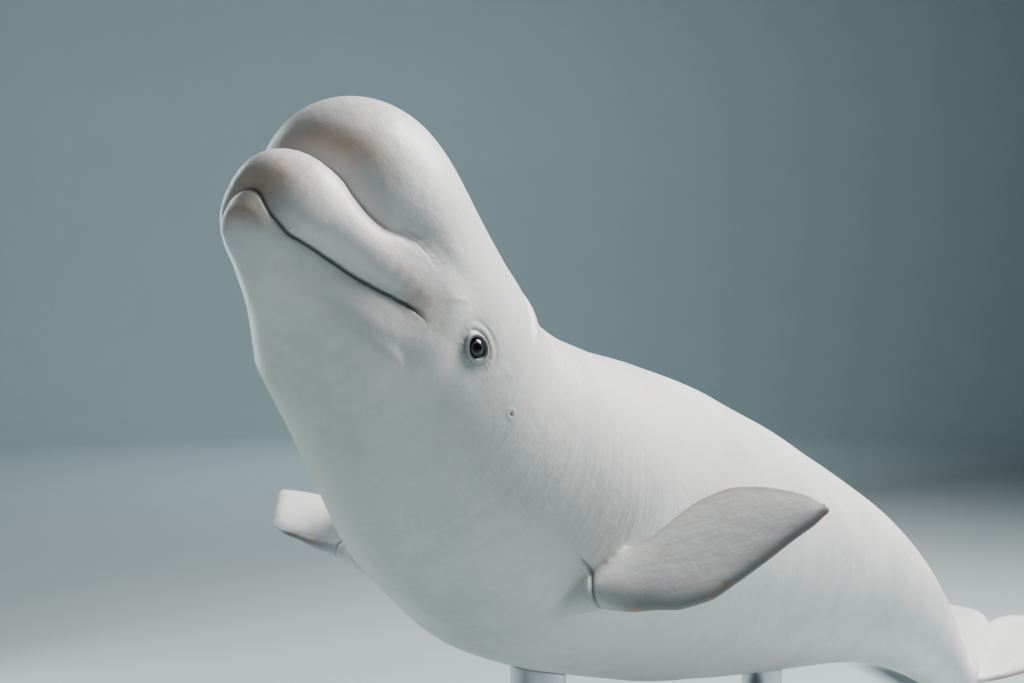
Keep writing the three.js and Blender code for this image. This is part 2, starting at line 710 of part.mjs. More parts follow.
function upright(radius, z0, z1, at) {
  const tube = new THREE.CylinderGeometry(radius, radius, z1 - z0, ROUND_SIDES).rotateX(Math.PI / 2);
  return fromGeometry(tube.translate(at[0], at[1], (z0 + z1) / 2));
}

const posed = {};
for (const [name, solid] of Object.entries(flesh)) posed[name] = moved(solid, bend);

// Each rod rises to a cup whose top is cut to the belly above it
function support(name, station, over) {
  const belowSkin = bend([station, 0, -belly(station)]);
  const at = [belowSkin[0], belowSkin[1]];
  const clear = moved(posed[over], ([x, y, z]) => [x, y, z - PART_GAP]).add(posed[over]);
  const cupFoot = belowSkin[2] - CUP.height;
  const cupBody = upright(CUP.radius, cupFoot, belowSkin[2] + CUP.radius, at).subtract(clear);
  const cup = cupBody.decompose().sort((a, b) => a.boundingBox().min[2] - b.boundingBox().min[2])[0];
  const collarFoot = BASE.thick + PART_GAP;
  const collar = upright(COLLAR.radius, collarFoot, collarFoot + COLLAR.height, at);
  const rod = upright(ROD_RADIUS, collarFoot, cupFoot - PART_GAP, at);
  const sleeve = upright(ROD_RADIUS + PART_GAP, 0, cupFoot, at);
  return {
    [`stand_rod_${name}`]: rod,
    [`stand_collar_${name}`]: collar.subtract(sleeve),
    [`stand_cup_${name}`]: cup,
  };
}

const stand = {
  stand_base: fromGeometry(roundedPlate(BASE)),
  ...support('front', ROD_STATIONS.front, 'chest'),
  ...support('rear', ROD_STATIONS.rear, 'loin'),
};

// The assembled model

const SKIN_COLOUR = { color: 0xe9ebe8, roughness: 0.42, metalness: 0 };
const LOOKS = {
  melon: { ...SKIN_COLOUR, color: 0xeee9e3 },
  upper_jaw: { ...SKIN_COLOUR, color: 0xece6e0 },
  eye: { color: 0x191512, roughness: 0.08, metalness: 0 },
  flipper: { ...SKIN_COLOUR, color: 0xdfe2e1 },
  fluke: { ...SKIN_COLOUR, color: 0xdde3e2 },
  stand_base: { color: 0x3a3c3e, roughness: 0.5, metalness: 0.1 },
  stand_rod: { color: 0xb9bcbe, roughness: 0.3, metalness: 1 },
};

function lookOf(name) {
  const key = Object.keys(LOOKS).find((start) => name.startsWith(start));
  if (key) return LOOKS[key];
  return name.startsWith('stand_') ? LOOKS.stand_rod : SKIN_COLOUR;
}

function meshOf(name, solid) {
  const { numProp, vertProperties, triVerts } = solid.getMesh();
  const position = new Float32Array((vertProperties.length / numProp) * 3);
  for (let i = 0; i < position.length / 3; i++) {
    for (let c = 0; c < 3; c++) position[i * 3 + c] = vertProperties[i * numProp + c];
  }
  const geometry = new THREE.BufferGeometry();
  geometry.setAttribute('position', new THREE.BufferAttribute(position, 3));
  geometry.setIndex(new THREE.BufferAttribute(Uint32Array.from(triVerts), 1));
  geometry.computeVertexNormals();
  const mesh = new THREE.Mesh(geometry, new THREE.MeshStandardMaterial(lookOf(name)));
  mesh.name = name;
  return mesh;
}

const beluga = new THREE.Group();
const eyeballs = {
  eye_left: moved(eyes.left.eye, bend),
  eye_right: moved(eyes.right.eye, bend),
};
for (const [name, solid] of Object.entries({ ...posed, ...eyeballs, ...stand })) {
  beluga.add(meshOf(name, solid));
}

export default beluga;
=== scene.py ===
import math

import bmesh
import bpy
import numpy as np
from mathutils import Matrix, Vector
from mathutils.bvhtree import BVHTree
from mathutils.kdtree import KDTree


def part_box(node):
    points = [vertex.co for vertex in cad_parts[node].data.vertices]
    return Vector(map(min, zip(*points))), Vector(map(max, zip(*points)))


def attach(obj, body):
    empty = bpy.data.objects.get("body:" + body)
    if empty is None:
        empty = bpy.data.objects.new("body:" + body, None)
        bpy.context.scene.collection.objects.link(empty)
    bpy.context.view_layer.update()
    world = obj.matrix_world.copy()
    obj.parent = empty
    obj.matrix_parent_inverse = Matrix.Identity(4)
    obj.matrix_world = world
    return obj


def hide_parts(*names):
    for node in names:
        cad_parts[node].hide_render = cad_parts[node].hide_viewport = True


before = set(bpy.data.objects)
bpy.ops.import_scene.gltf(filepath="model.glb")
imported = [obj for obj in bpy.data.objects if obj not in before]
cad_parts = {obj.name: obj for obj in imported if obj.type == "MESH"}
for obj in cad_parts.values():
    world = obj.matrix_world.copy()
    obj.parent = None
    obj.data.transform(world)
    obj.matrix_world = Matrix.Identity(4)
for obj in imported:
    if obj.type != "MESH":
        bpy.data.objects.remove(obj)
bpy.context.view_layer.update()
scene = bpy.context.scene


# Camera. It hangs level, ahead of the whale and to its left, a little below the lips, and looks
# back along the flank. Its place comes from the photograph's framing of the head, flipper and tail.
PHOTO_WIDTH = 1024
FOCAL_IN_PHOTO_WIDTHS = 1000 / PHOTO_WIDTH
CAMERA_PLACE = (1.030, -2.400, 1.420)
CAMERA_TURN_DEG = 31.97


def in_scene(name, data):
    made = bpy.data.objects.new(name, data)
    scene.collection.objects.link(made)
    return made


lens = bpy.data.cameras.new("camera")
lens.sensor_width = 36.0
lens.lens = lens.sensor_width * FOCAL_IN_PHOTO_WIDTHS
camera = in_scene("camera", lens)
camera.location = CAMERA_PLACE
camera.rotation_euler = (math.radians(90), 0, math.radians(CAMERA_TURN_DEG))
scene.camera = camera


# Shape of the whale before it bends: s runs back from the lip tip, y to its left, z up. The head is
# flesh laid over flesh, each lump an ellipsoid or a string of beads, blended where they meet, and
# the trunk is one long spindle. The solids of the model follow the same sizes.
BODY_ROWS = np.array([
    (0.18, 0.030, -0.050, 0.040), (0.30, 0.100, -0.132, 0.110), (0.45, 0.232, -0.205, 0.192),
    (0.55, 0.247, -0.244, 0.220), (0.70, 0.253, -0.296, 0.270), (0.90, 0.276, -0.350, 0.323),
    (1.15, 0.324, -0.363, 0.362),
    (1.50, 0.372, -0.363, 0.385), (1.85, 0.384, -0.342, 0.375), (2.20, 0.356, -0.306, 0.334),
    (2.55, 0.300, -0.258, 0.270), (2.90, 0.228, -0.203, 0.197), (3.20, 0.172, -0.152, 0.135),
    (3.45, 0.122, -0.106, 0.090), (3.65, 0.080, -0.072, 0.062), (3.80, 0.045, -0.045, 0.050),
    (3.92, 0.020, -0.020, 0.030),
])
STOCK_END = 3.86
MELON = ((0.190, 0, 0.131), (0.169, 0.148, 0.158), 0)
CRANIUM = ((0.400, 0, 0.048), (0.240, 0.193, 0.220), 0)
PALATE = ((0.190, 0, -0.005), (0.145, 0.095, 0.050), 3)
CHIN = ((0.205, 0, -0.071), (0.160, 0.057, 0.037), -3)
THROAT = ((0.400, 0, -0.069), (0.250, 0.119, 0.094), -11)
UPPER_LIP = np.array([
    (0.040, 0.000, 0.002, 0.042), (0.056, 0.033, -0.002, 0.046), (0.095, 0.045, -0.010, 0.053),
    (0.150, 0.061, -0.014, 0.055), (0.225, 0.096, -0.012, 0.046), (0.290, 0.124, -0.016, 0.030),
])
LOWER_LIP = np.array([
    (0.038, 0.000, -0.060, 0.024), (0.090, 0.007, -0.072, 0.027), (0.170, 0.024, -0.073, 0.031),
    (0.270, 0.064, -0.069, 0.047),
])
MOUTH_LIFT = np.array([
    (0.000, -0.041, -0.004), (0.008, -0.043, -0.007), (0.017, -0.054, -0.015),
    (0.029, -0.065, -0.021), (0.053, -0.071, -0.018), (0.079, -0.067, -0.006),
    (0.103, -0.063, 0.002), (0.141, -0.059, 0.008), (0.178, -0.053, 0.008),
    (0.212, -0.047, 0.008), (0.247, -0.046, 0.006), (0.330, -0.045, 0.004), (0.400, -0.050, 0.000),
])
CREASE_LIFT = np.array([
    (0.000, 0.055, 0.008), (0.038, 0.062, 0.015), (0.057, 0.060, 0.015), (0.074, 0.052, 0.014),
    (0.089, 0.041, 0.008), (0.113, 0.030, 0.005), (0.140, 0.025, 0.008), (0.165, 0.030, 0.019),
    (0.197, 0.035, 0.027), (0.240, 0.020, 0.026), (0.300, 0.000, 0.010), (0.360, 0.000, 0.000),
])
LIFT_REACH, LIFT_REACH_BELOW_MOUTH = 0.045, 0.022
RIDGE_MIDDLE, RIDGE_HALF, RIDGE_WIDTH, RIDGE_HEIGHT = 2.06, 0.68, 0.060, 0.036
HEAD_BLENDS_UNTIL = 0.9
MELON_BLEND, LIP_BLEND, JAW_BLEND, THROAT_BLEND, HEAD_BLEND = 0.10, 0.03, 0.05, 0.12, 0.06
SLOPE_STEP = 0.0008
LONGEST_STEP, STEPS_ONTO_SKIN = 0.0015, 3
CAST_FROM, CAST_STEPS, CAST_SHARE, CAST_NEAR = 0.62, 70, 0.75, 2e-5


def smooth_min(a, b, k):
    h = np.maximum(k - np.abs(a - b), 0) / k
    return np.minimum(a, b) - h * h * k * 0.25


def smooth_step(x, low, high):
    t = np.clip((x - low) / (high - low), 0, 1)
    return t * t * (3 - 2 * t)


def bell(x, width):
    return np.exp(-((x / width) ** 2))


def monotone(rows, column):
    """A curve through one column of rows, without overshoot."""
    x, y = rows[:, 0], rows[:, column]
    step = np.diff(y) / np.diff(x)
    slope = np.concatenate([step[:1], np.zeros(len(step) - 1), step[-1:]])
    same = step[:-1] * step[1:] > 0
    slope[1:-1][same] = (2 * step[:-1] * step[1:])[same] / (step[:-1] + step[1:])[same]

    def curve(u):
        u = np.clip(u, x[0], x[-1])
        i = np.clip(np.searchsorted(x, u, side="right") - 1, 0, len(x) - 2)
        h = x[i + 1] - x[i]
        t = (u - x[i]) / h
        return (
            (2 * t**3 - 3 * t**2 + 1) * y[i] + (t**3 - 2 * t**2 + t) * h * slope[i]
            + (3 * t**2 - 2 * t**3) * y[i + 1] + (t**3 - t**2) * h * slope[i + 1]
        )

    return curve


def ellipsoid(p, shape):
    centre, half, tilt = shape
    c, d = math.cos(math.radians(tilt)), math.sin(math.radians(tilt))
    q = p - centre
    q = np.stack([q[:, 0] * c + q[:, 2] * d, q[:, 1], -q[:, 0] * d + q[:, 2] * c], axis=1)
    k0 = np.linalg.norm(q / half, axis=1)
    k1 = np.linalg.norm(q / np.square(half), axis=1) + 1e-9
    return k0 * (k0 - 1) / k1


def lip_beads(rows):
    mirrored = rows[1] * (1, -1, 1, 1)
    beyond = 2 * rows[-1] - rows[-2]
    ends = np.vstack([mirrored, rows, beyond])
    beads = []
    for i in range(1, len(ends) - 2):
        p0, p1, p2, p3 = ends[i - 1 : i + 3]
        for t in (0, 0.25, 0.5, 0.75):
            beads.append(0.5 * (2 * p1 + (p2 - p0) * t + (2 * p0 - 5 * p1 + 4 * p2 - p3) * t**2
                                + (3 * p1 - p0 - 3 * p2 + p3) * t**3))
    return np.array(beads + [rows[-1]])


def bead_string(p, beads):
    best = np.full(len(p), np.inf)
    for a, b in zip(beads[:-1], beads[1:]):
        along = b[:3] - a[:3]
        t = np.clip((p - a[:3]) @ along / (along @ along), 0, 1)
        gap = np.linalg.norm(p - a[:3] - t[:, None] * along, axis=1) - (a[3] + (b[3] - a[3]) * t)
        best = np.minimum(best, gap)
    return best


UPPER_BEADS = lip_beads(UPPER_LIP)
LOWER_BEADS = lip_beads(LOWER_LIP)


def lip_roll(p, beads, k):
    near = p * (1, 0, 1) + np.abs(p * (0, 1, 0))
    far = p * (1, 0, 1) - np.abs(p * (0, 1, 0))
    return smooth_min(bead_string(near, beads), bead_string(far, beads[:7]), k)


mouth_line, mouth_lift = monotone(MOUTH_LIFT, 1), monotone(MOUTH_LIFT, 2)
crease_line, crease_lift = monotone(CREASE_LIFT, 1), monotone(CREASE_LIFT, 2)


def before_lift(p):
    """Places of the head before the flesh at the mouth's line and the melon's crease was lifted."""
    s, y, z = p.T
    aside = np.maximum(smooth_step(np.abs(y), 0.004, 0.030), np.clip((s - 0.03) / 0.03, 0, 1))
    above = z - mouth_line(s)
    reach = np.where(above > 0, LIFT_REACH, LIFT_REACH_BELOW_MOUTH)
    lift = mouth_lift(s) * aside * bell(above, reach)
    lift = lift + crease_lift(s) * bell(z - crease_line(s), LIFT_REACH)
    return np.stack([s, y, z - lift], axis=1)


def head_lumps(p):
    """Distances to the skull with its melon, the upper lip and the lower jaw."""
    p = before_lift(p)
    skull = smooth_min(ellipsoid(p, MELON), ellipsoid(p, CRANIUM), MELON_BLEND)
    upper = smooth_min(lip_roll(p, UPPER_BEADS, LIP_BLEND), ellipsoid(p, PALATE), LIP_BLEND)
    lower = smooth_min(lip_roll(p, LOWER_BEADS, JAW_BLEND), ellipsoid(p, CHIN), JAW_BLEND)
    return skull, upper, smooth_min(lower, ellipsoid(p, THROAT), THROAT_BLEND)


back, belly, flank = (monotone(BODY_ROWS, column) for column in (1, 2, 3))


def trunk_distance(p):
    s, y, z = p.T
    top, bottom, half = back(s), belly(s), flank(s)
    tall = (top - bottom) / 2
    r = np.hypot(y / half, (z - (top + bottom) / 2) / tall)
    along = np.clip(1 - ((s - RIDGE_MIDDLE) / RIDGE_HALF) ** 2, 0, 1)
    ridge = np.where(z > 0, RIDGE_HEIGHT * along**2 * bell(y, RIDGE_WIDTH), 0)
    return np.maximum((r - 1) * np.minimum(half, tall) - ridge, BODY_ROWS[0, 0] - s)


def skin_distance(p):
    result = trunk_distance(p)
    front = p[:, 0] < HEAD_BLENDS_UNTIL
    if front.any():
        q = p[front]
        skull, upper, lower = head_lumps(q)
        crease_blend = 0.012 + 0.05 * np.clip((q[:, 0] - 0.16) / 0.14, 0, 1)
        joining = np.maximum(smooth_step(q[:, 0], 0.22, 0.31), smooth_step(-q[:, 2], 0.08, 0.12))
        mouth_blend = 0.004 + 0.05 * joining
        head = smooth_min(smooth_min(skull, upper, crease_blend), lower, mouth_blend)
        result[front] = smooth_min(head, result[front], HEAD_BLEND)
    return result


def skin_slope(p):
    steps = np.eye(3) * SLOPE_STEP
    slope = np.stack([skin_distance(p + e) - skin_distance(p - e) for e in steps], axis=1)
    return slope / (2 * SLOPE_STEP)


def onto_skin(p):
    for _ in range(STEPS_ONTO_SKIN):
        slope = skin_slope(p)
        step = slope * (skin_distance(p) / (np.sum(slope**2, axis=1) + 1e-9))[:, None]
        length = np.linalg.norm(step, axis=1, keepdims=True)
        p = p - step * np.minimum(1, LONGEST_STEP / (length + 1e-12))
    return p


def cast(origins, ways):
    """The outermost crossing of the skin along each ray, found from outside."""
    t = np.full(len(origins), CAST_FROM)
    active = np.arange(len(origins))
    for _ in range(CAST_STEPS):
        gap = skin_distance(origins[active] + ways[active] * t[active, None])
        t[active] -= CAST_SHARE * gap
        active = active[(np.abs(gap) > CAST_NEAR) & (t[active] > 0)]
        if not len(active):
            break
    return origins + ways * t[:, None]


# Skin grid. Rays fan out round the face from a point inside the head, then leave the spine square
# to it, ring after ring. The rings are close on the head and wider along the trunk.
FAN_CENTRE = np.array([0.22, 0, -0.01])
HEAD_SIDES, BODY_SIDES = 256, 128
FAN_RINGS = 84
HEAD_STEP, BODY_STEP = 0.0042, 0.021
HEAD_GRID_END, SPINE_LEVELS_OVER = 0.62, 0.38


def ring_ways(sides, lean=math.pi / 2):
    turn = np.arange(sides) * 2 * math.pi / sides
    across = math.sin(lean)
    ways = [np.full(sides, -math.cos(lean)), across * np.cos(turn), across * np.sin(turn)]
    return np.stack(ways, axis=1)


def skin_grid():
    rings = []
    for i in range(FAN_RINGS):
        ways = ring_ways(HEAD_SIDES, (i + 1) / FAN_RINGS * math.pi / 2)
        rings.append((np.tile(FAN_CENTRE, (HEAD_SIDES, 1)), ways))
    head_stations = np.arange(FAN_CENTRE[0] + HEAD_STEP, HEAD_GRID_END, HEAD_STEP)
    body_count = int((STOCK_END - HEAD_GRID_END) / BODY_STEP)
    body_stations = np.linspace(HEAD_GRID_END, STOCK_END, body_count)
    for stations, sides in ((head_stations, HEAD_SIDES), (body_stations, BODY_SIDES)):
        for s in stations:
            z = FAN_CENTRE[2] * (1 - np.clip((s - FAN_CENTRE[0]) / SPINE_LEVELS_OVER, 0, 1))
            rings.append((np.tile((s, 0, z), (sides, 1)), ring_ways(sides)))
    points = cast(np.vstack([r[0] for r in rings]), np.vstack([r[1] for r in rings]))
    faces = []
    start = 0
    for (origins, _), (following, _) in zip(rings[:-1], rings[1:]):
        n, m = len(origins), len(following)
        after = start + n
        for k in range(m):
            k2 = (k + 1) % m
            if n == m:
                faces.append((start + k, start + k2, after + k2, after + k))
            else:
                a, b, c = start + 2 * k, start + 2 * k + 1, start + (2 * k + 2) % n
                faces += [(a, b, after + k), (b, c, after + k2), (b, after + k2, after + k)]
        start = after
    tip = cast(FAN_CENTRE[None], np.array([[-1.0, 0, 0]]))
    end = points[start : start + BODY_SIDES].mean(axis=0, keepdims=True)
    total = len(points)
    faces += [(total, (k + 1) % HEAD_SIDES, k) for k in range(HEAD_SIDES)]
    faces += [(total + 1, start + k, start + (k + 1) % BODY_SIDES) for k in range(BODY_SIDES)]
    return np.vstack([points, tip, end]), faces


def mesh_of(name, points, faces):
    made = bpy.data.meshes.new(name)
    made.from_pydata([tuple(p) for p in points], [], faces)
    made.validate()
    return made


def points_of(mesh):
    co = np.zeros(len(mesh.vertices) * 3)
    mesh.vertices.foreach_get("co", co)
    return co.reshape(-1, 3)


# Where the fine forms of the head are: the eyes with their lids, the blowhole, the ear holes, the
# line of the mouth, the crease under the melon and the fold between the head and the neck.
EYE_S, EYE_Z = 0.353, -0.020
EYE_BALL, EYE_DEEP = 0.017, 0.010
EYE_OPEN_S, EYE_OPEN_Z = 0.0165, 0.0140
BLOWHOLE_S, BLOWHOLE_HALF, BLOWHOLE_BOW = 0.385, 0.034, 0.014
EAR_S, EAR_Z = 0.472, -0.050
DIMPLE_S, DIMPLE_Z = 0.101, 0.068
SCAR = ((0.275, 0.008), (0.296, 0.022))
CREASE_WRINKLES = (-0.005, -0.013)
MOUTH_END = 0.258
FOLD_S = 0.458
# Each ridge or furrow: its height, how far it lies from the line that it follows, and its width.
LIP_FORMS = ((-0.0066, 0.0, 0.0017), (0.0016, 0.010, 0.007), (-0.0012, -0.009, 0.005))
FOLD_FORMS = ((-0.004, 0.0, 0.010), (0.003, 0.022, 0.014))
# The same round an eye, in openings from its middle, then how it shares out all round and above.
LID_FORMS = (
    (0.0022, 1.30, 0.22, 1.0, 0.0), (-0.0016, 1.72, 0.16, 0.55, 0.45),
    (0.0012, 2.15, 0.25, 0.5, 0.5),
)
HEAD_END, FINE_HEAD_END, REFINED_END = 0.62, 0.55, 0.6
COARSE_EDGE, REFINE_ROUNDS, TOO_LONG = 0.1, 4, 1.5
FAR_OFF, NEAR_CENTRE = 9.0, 0.12


def side_point(s, z, side):
    return cast(np.array([[s, 0, z]]), np.array([[0.0, side, 0]]))[0]


EYES = {side: side_point(EYE_S, EYE_Z, sign) for side, sign in (("left", 1), ("right", -1))}
EARS = [side_point(EAR_S, EAR_Z, sign) for sign in (1, -1)]
DIMPLES = [side_point(DIMPLE_S, DIMPLE_Z, sign) for sign in (1, -1)]


def outward(point):
    slope = skin_slope(point[None])[0]
    return slope / np.linalg.norm(slope)


def around(p, centre):
    """Distances from a point on the skin, along the body and across it."""
    normal = outward(centre)
    along = np.array([1.0, 0, 0]) - normal * normal[0]
    along /= np.linalg.norm(along)
    across = np.cross(along, normal)
    across *= np.sign(across[2])
    q = p - centre
    near = np.linalg.norm(q, axis=1) < NEAR_CENTRE
    return np.where(near, q @ along, FAR_OFF), np.where(near, q @ across, FAR_OFF)


def mouth_gap(p):
    skull, upper, lower = head_lumps(p)
    return smooth_min(skull, upper, 0.012) - lower, skull - upper


def blowhole_gap(p):
    bow = BLOWHOLE_BOW * (p[:, 1] / BLOWHOLE_HALF) ** 2
    gap = np.where(p[:, 2] > 0.05, p[:, 0] - (BLOWHOLE_S - bow), FAR_OFF)
    return gap, np.clip(1 - (p[:, 1] / BLOWHOLE_HALF) ** 2, 0, 1)


def wanted_edge(p):
    """How long a mesh edge may be at each point of the skin."""
    size = np.full(len(p), COARSE_EDGE)
    head = np.nonzero(p[:, 0] < FINE_HEAD_END)[0]
    q = p[head]
    fine = np.full(len(q), COARSE_EDGE)

    def finer(where, edge, growth, gap, reach):
        """Edges no longer than this within reach of a line or a point, and growing beyond it."""
        limit = np.minimum(fine, edge + growth * np.maximum(np.abs(gap) - reach, 0))
        return np.where(where, limit, fine)

    for centre in EYES.values():
        fine = finer(True, 0.0012, 0.10, np.linalg.norm(q - centre, axis=1), 0.028)
    for centre in EARS + DIMPLES:
        fine = finer(True, 0.0014, 0.2, np.linalg.norm(q - centre, axis=1), 0.008)
    mouth, crease = mouth_gap(q)
    fine = finer(q[:, 0] < MOUTH_END + 0.02, 0.0012, 0.25, mouth, 0.004)
    fine = finer(q[:, 0] < 0.21, 0.0024, 0.3, crease, 0.006)
    gap, inside = blowhole_gap(q)
    fine = finer(inside > 0, 0.0016, 0.2, gap, 0.006)
    size[head] = fine
    return size


def halve(form, edges):
    bmesh.ops.subdivide_edges(form, edges=edges, cuts=1, use_grid_fill=True)


def refine(mesh):
    for _ in range(REFINE_ROUNDS):
        form = bmesh.new()
        form.from_mesh(mesh)
        form.edges.ensure_lookup_table()
        ends = np.array([[v.co[:] for v in e.verts] for e in form.edges])
        length = np.linalg.norm(ends[:, 0] - ends[:, 1], axis=1)
        long = np.nonzero(length > TOO_LONG * wanted_edge(ends.mean(axis=1)))[0]
        if len(long):
            halve(form, [form.edges[i] for i in long])
        form.to_mesh(mesh)
        form.free()
        points = points_of(mesh)
        front = points[:, 0] < REFINED_END
        points[front] = onto_skin(points[front])
        mesh.vertices.foreach_set("co", points.ravel())
        mesh.update()


def above_mouth(p):
    return smooth_step(p[:, 2], -0.030, 0.0)


def behind_crease(p):
    along = smooth_step(p[:, 0], 0.160, 0.185) * (1 - smooth_step(p[:, 0], 0.225, 0.255))
    return along * above_mouth(p)


def scar_gap(p):
    """Distance, seen from the side, to the short scar between the cheek and the left eye."""
    start, end = np.array(SCAR)
    q = p[:, [0, 2]] - start
    along = end - start
    t = np.clip(q @ along / (along @ along), 0, 1)
    return np.where(p[:, 1] > 0, np.linalg.norm(q - t[:, None] * along, axis=1), 1.0)


def round_eye(p, centre):
    """Openings from the middle of an eye, and the turn round it."""
    a, b = around(p, centre)
    return np.hypot(a / EYE_OPEN_S, b / EYE_OPEN_Z), np.arctan2(b, a)


def carve(p):
    """How far the fine forms stand out of the smooth skin (negative: cut in)."""
    depth = np.zeros(len(p))
    head = p[:, 0] < HEAD_END
    q = p[head]
    d = np.zeros(len(q))
    mouth, crease = mouth_gap(q)
    closing = 1 - smooth_step(q[:, 0], MOUTH_END - 0.03, MOUTH_END + 0.012)
    for height, away, width in LIP_FORMS:
        d += height * bell(mouth - away, width) * closing
    crease_ends = 1 - smooth_step(q[:, 0], 0.12, 0.215)
    d -= 0.0045 * bell(crease, 0.0045) * crease_ends * above_mouth(q)
    for wrinkle in CREASE_WRINKLES:
        d -= 0.0012 * bell(crease - wrinkle, 0.0026) * behind_crease(q)
    gap, inside = blowhole_gap(q)
    d -= 0.014 * bell(gap, 0.0030) * np.sqrt(inside)
    d += 0.004 * bell(np.abs(gap) - 0.010, 0.007) * inside
    for centre in EYES.values():
        e, turn = round_eye(q, centre)
        d -= 0.016 * (1 - smooth_step(e, 0.80, 1.06))
        for height, away, width, all_round, above in LID_FORMS:
            d += height * bell(e - away, width) * (all_round + above * np.sin(turn))
        d -= 0.0012 * bell(e - 2.7, 0.22) * np.clip(np.sin(turn + 0.5), 0, 1)
        d += 0.0003 * np.sin(turn * 13 + 3 * np.sin(turn * 5)) * bell(e - 2.0, 0.5)
        d -= 0.0030 * bell(e - 1, 3.4) * smooth_step(e, 1.3, 2.2)
    for centre in EARS:
        a, b = around(q, centre)
        r = np.hypot(a, b)
        d += -0.0035 * bell(r, 0.0024) + 0.0008 * bell(r - 0.007, 0.004)
    for centre in DIMPLES:
        a, b = around(q, centre)
        d -= 0.0018 * bell(np.hypot(a, b * 1.5), 0.005)
    d += 0.0012 * bell(scar_gap(q), 0.0022)
    nape = smooth_step(q[:, 2], 0.02, 0.13)
    for height, away, width in FOLD_FORMS:
        d += height * bell(q[:, 0] - FOLD_S - away, width) * nape
    depth[head] = d
    return depth


skin_points, skin_faces = skin_grid()
skin_mesh = mesh_of("whale", skin_points, skin_faces)
refine(skin_mesh)
skin_points = points_of(skin_mesh)
slopes = skin_slope(skin_points)
slopes /= np.linalg.norm(slopes, axis=1, keepdims=True) + 1e-9
skin_points += slopes * carve(skin_points)[:, None]
skin_mesh.vertices.foreach_set("co", skin_points.ravel())
skin_mesh.update()


# Flippers and flukes. Each is a blade with a full front edge and a thin rear one, lofted from its
# root deep in the flesh to its tip, then joined to the body with a smoothed fillet.
FLIPPER_ROWS = np.array([
    (-0.089, 0.045, -0.053, 0.062), (-0.030, 0.047, -0.054, 0.060), (0.010, 0.051, -0.054, 0.052),
    (0.039, 0.061, -0.054, 0.044), (0.074, 0.073, -0.054, 0.038), (0.113, 0.080, -0.064, 0.034),
    (0.158, 0.091, -0.089, 0.031), (0.202, 0.089, -0.109, 0.028), (0.251, 0.069, -0.116, 0.025),
    (0.301, 0.044, -0.104, 0.022), (0.350, 0.017, -0.080, 0.018), (0.384, 0.000, -0.056, 0.0145),
    (0.402, -0.013, -0.036, 0.010),
])
FLIPPER_ROOT_S, FLIPPER_ROOT_Z = 0.774, -0.192
FLIPPER_LEFT = {"forward": 0.078, "up": 0.344, "twist": 67}
FLIPPER_RIGHT = {"forward": -0.333, "up": 0.246, "twist": 25.5}
FLUKE_ROWS = np.array([
    (-0.012, 3.600, 3.990, 0.076), (0.000, 3.602, 4.000, 0.076), (0.028, 3.622, 4.034, 0.072),
    (0.075, 3.662, 4.062, 0.058), (0.145, 3.724, 4.078, 0.046), (0.220, 3.786, 4.080, 0.038),
    (0.300, 3.850, 4.068, 0.030), (0.375, 3.920, 4.052, 0.022), (0.435, 3.982, 4.042, 0.015),
    (0.462, 4.014, 4.040, 0.010),
])
FIN_SIDES, FLIPPER_STATIONS, FLUKE_STATIONS = 56, 72, 64
TIP_REACH, TIP_STEPS = 0.009, (0.35, 0.65, 0.85, 0.96)
TIP_CROWDING = 0.3
FULL_FRONT, THINNED_REAR = 1.2, 0.5


def fin_section(front, rear, thick):
    turn = (np.arange(FIN_SIDES) + 0.5) * 2 * math.pi / FIN_SIDES
    x = (1 - np.cos(turn)) / 2
    return front + (rear - front) * x, thick / 2 * np.sin(turn) * (FULL_FRONT - THINNED_REAR * x)


def flipper_frame(direction, side):
    forward, up, twist = direction["forward"], direction["up"], math.radians(direction["twist"])
    span = np.array([-forward, side * math.sqrt(1 - forward**2 - up**2), up])
    straight = np.array([-1.0, 0, 0])
    straight -= span * (straight @ span)
    straight /= np.linalg.norm(straight)
    down = -side * np.cross(span, straight)
    lead = math.cos(twist) * straight + math.sin(twist) * down
    face = -side * np.cross(span, lead)
    return side_point(FLIPPER_ROOT_S, FLIPPER_ROOT_Z, side), span, lead, face


FLIPPER_FRAMES = {1: flipper_frame(FLIPPER_LEFT, 1), -1: flipper_frame(FLIPPER_RIGHT, -1)}


def loft(rings, first, last):
    n = rings.shape[1]
    points = np.vstack([rings.reshape(-1, 3), first[None], last[None]])
    faces = []
    for i in range(len(rings) - 1):
        for k in range(n):
            a, b = i * n + k, i * n + (k + 1) % n
            faces.append((a, b, b + n, a + n))
    total = len(rings) * n
    faces += [(total, (k + 1) % n, k) for k in range(n)]
    faces += [(total + 1, total - n + k, total - n + (k + 1) % n) for k in range(n)]
    return points, faces


def tip_spaced(first, last, count):
    """Stations that crowd towards the tip."""
    t = np.linspace(0, 1, count)
    return first + (last - first) * ((1 + TIP_CROWDING) * t - TIP_CROWDING * t**4)


def rounded_tip(ring, way):
    """Rings that close a blade with a round end, and the point where they meet."""
    middle = ring.mean(axis=0)
    closing = [middle + (ring - middle) * math.sqrt(1 - t * t) + way * t for t in TIP_STEPS]
    return closing, middle + way


def flipper_blade(side):
    root, span, lead, face = FLIPPER_FRAMES[side]
    curves = [monotone(FLIPPER_ROWS, column) for column in (1, 2, 3)]
    rings = []
    for u in tip_spaced(FLIPPER_ROWS[0, 0], FLIPPER_ROWS[-1, 0], FLIPPER_STATIONS):
        c, w = fin_section(*(curve(u) for curve in curves))
        rings.append(root + span * u + np.outer(c, lead) + np.outer(w, face))
    closing, tip = rounded_tip(rings[-1], span * TIP_REACH)
    return loft(np.array(rings + closing), rings[0].mean(axis=0), tip)


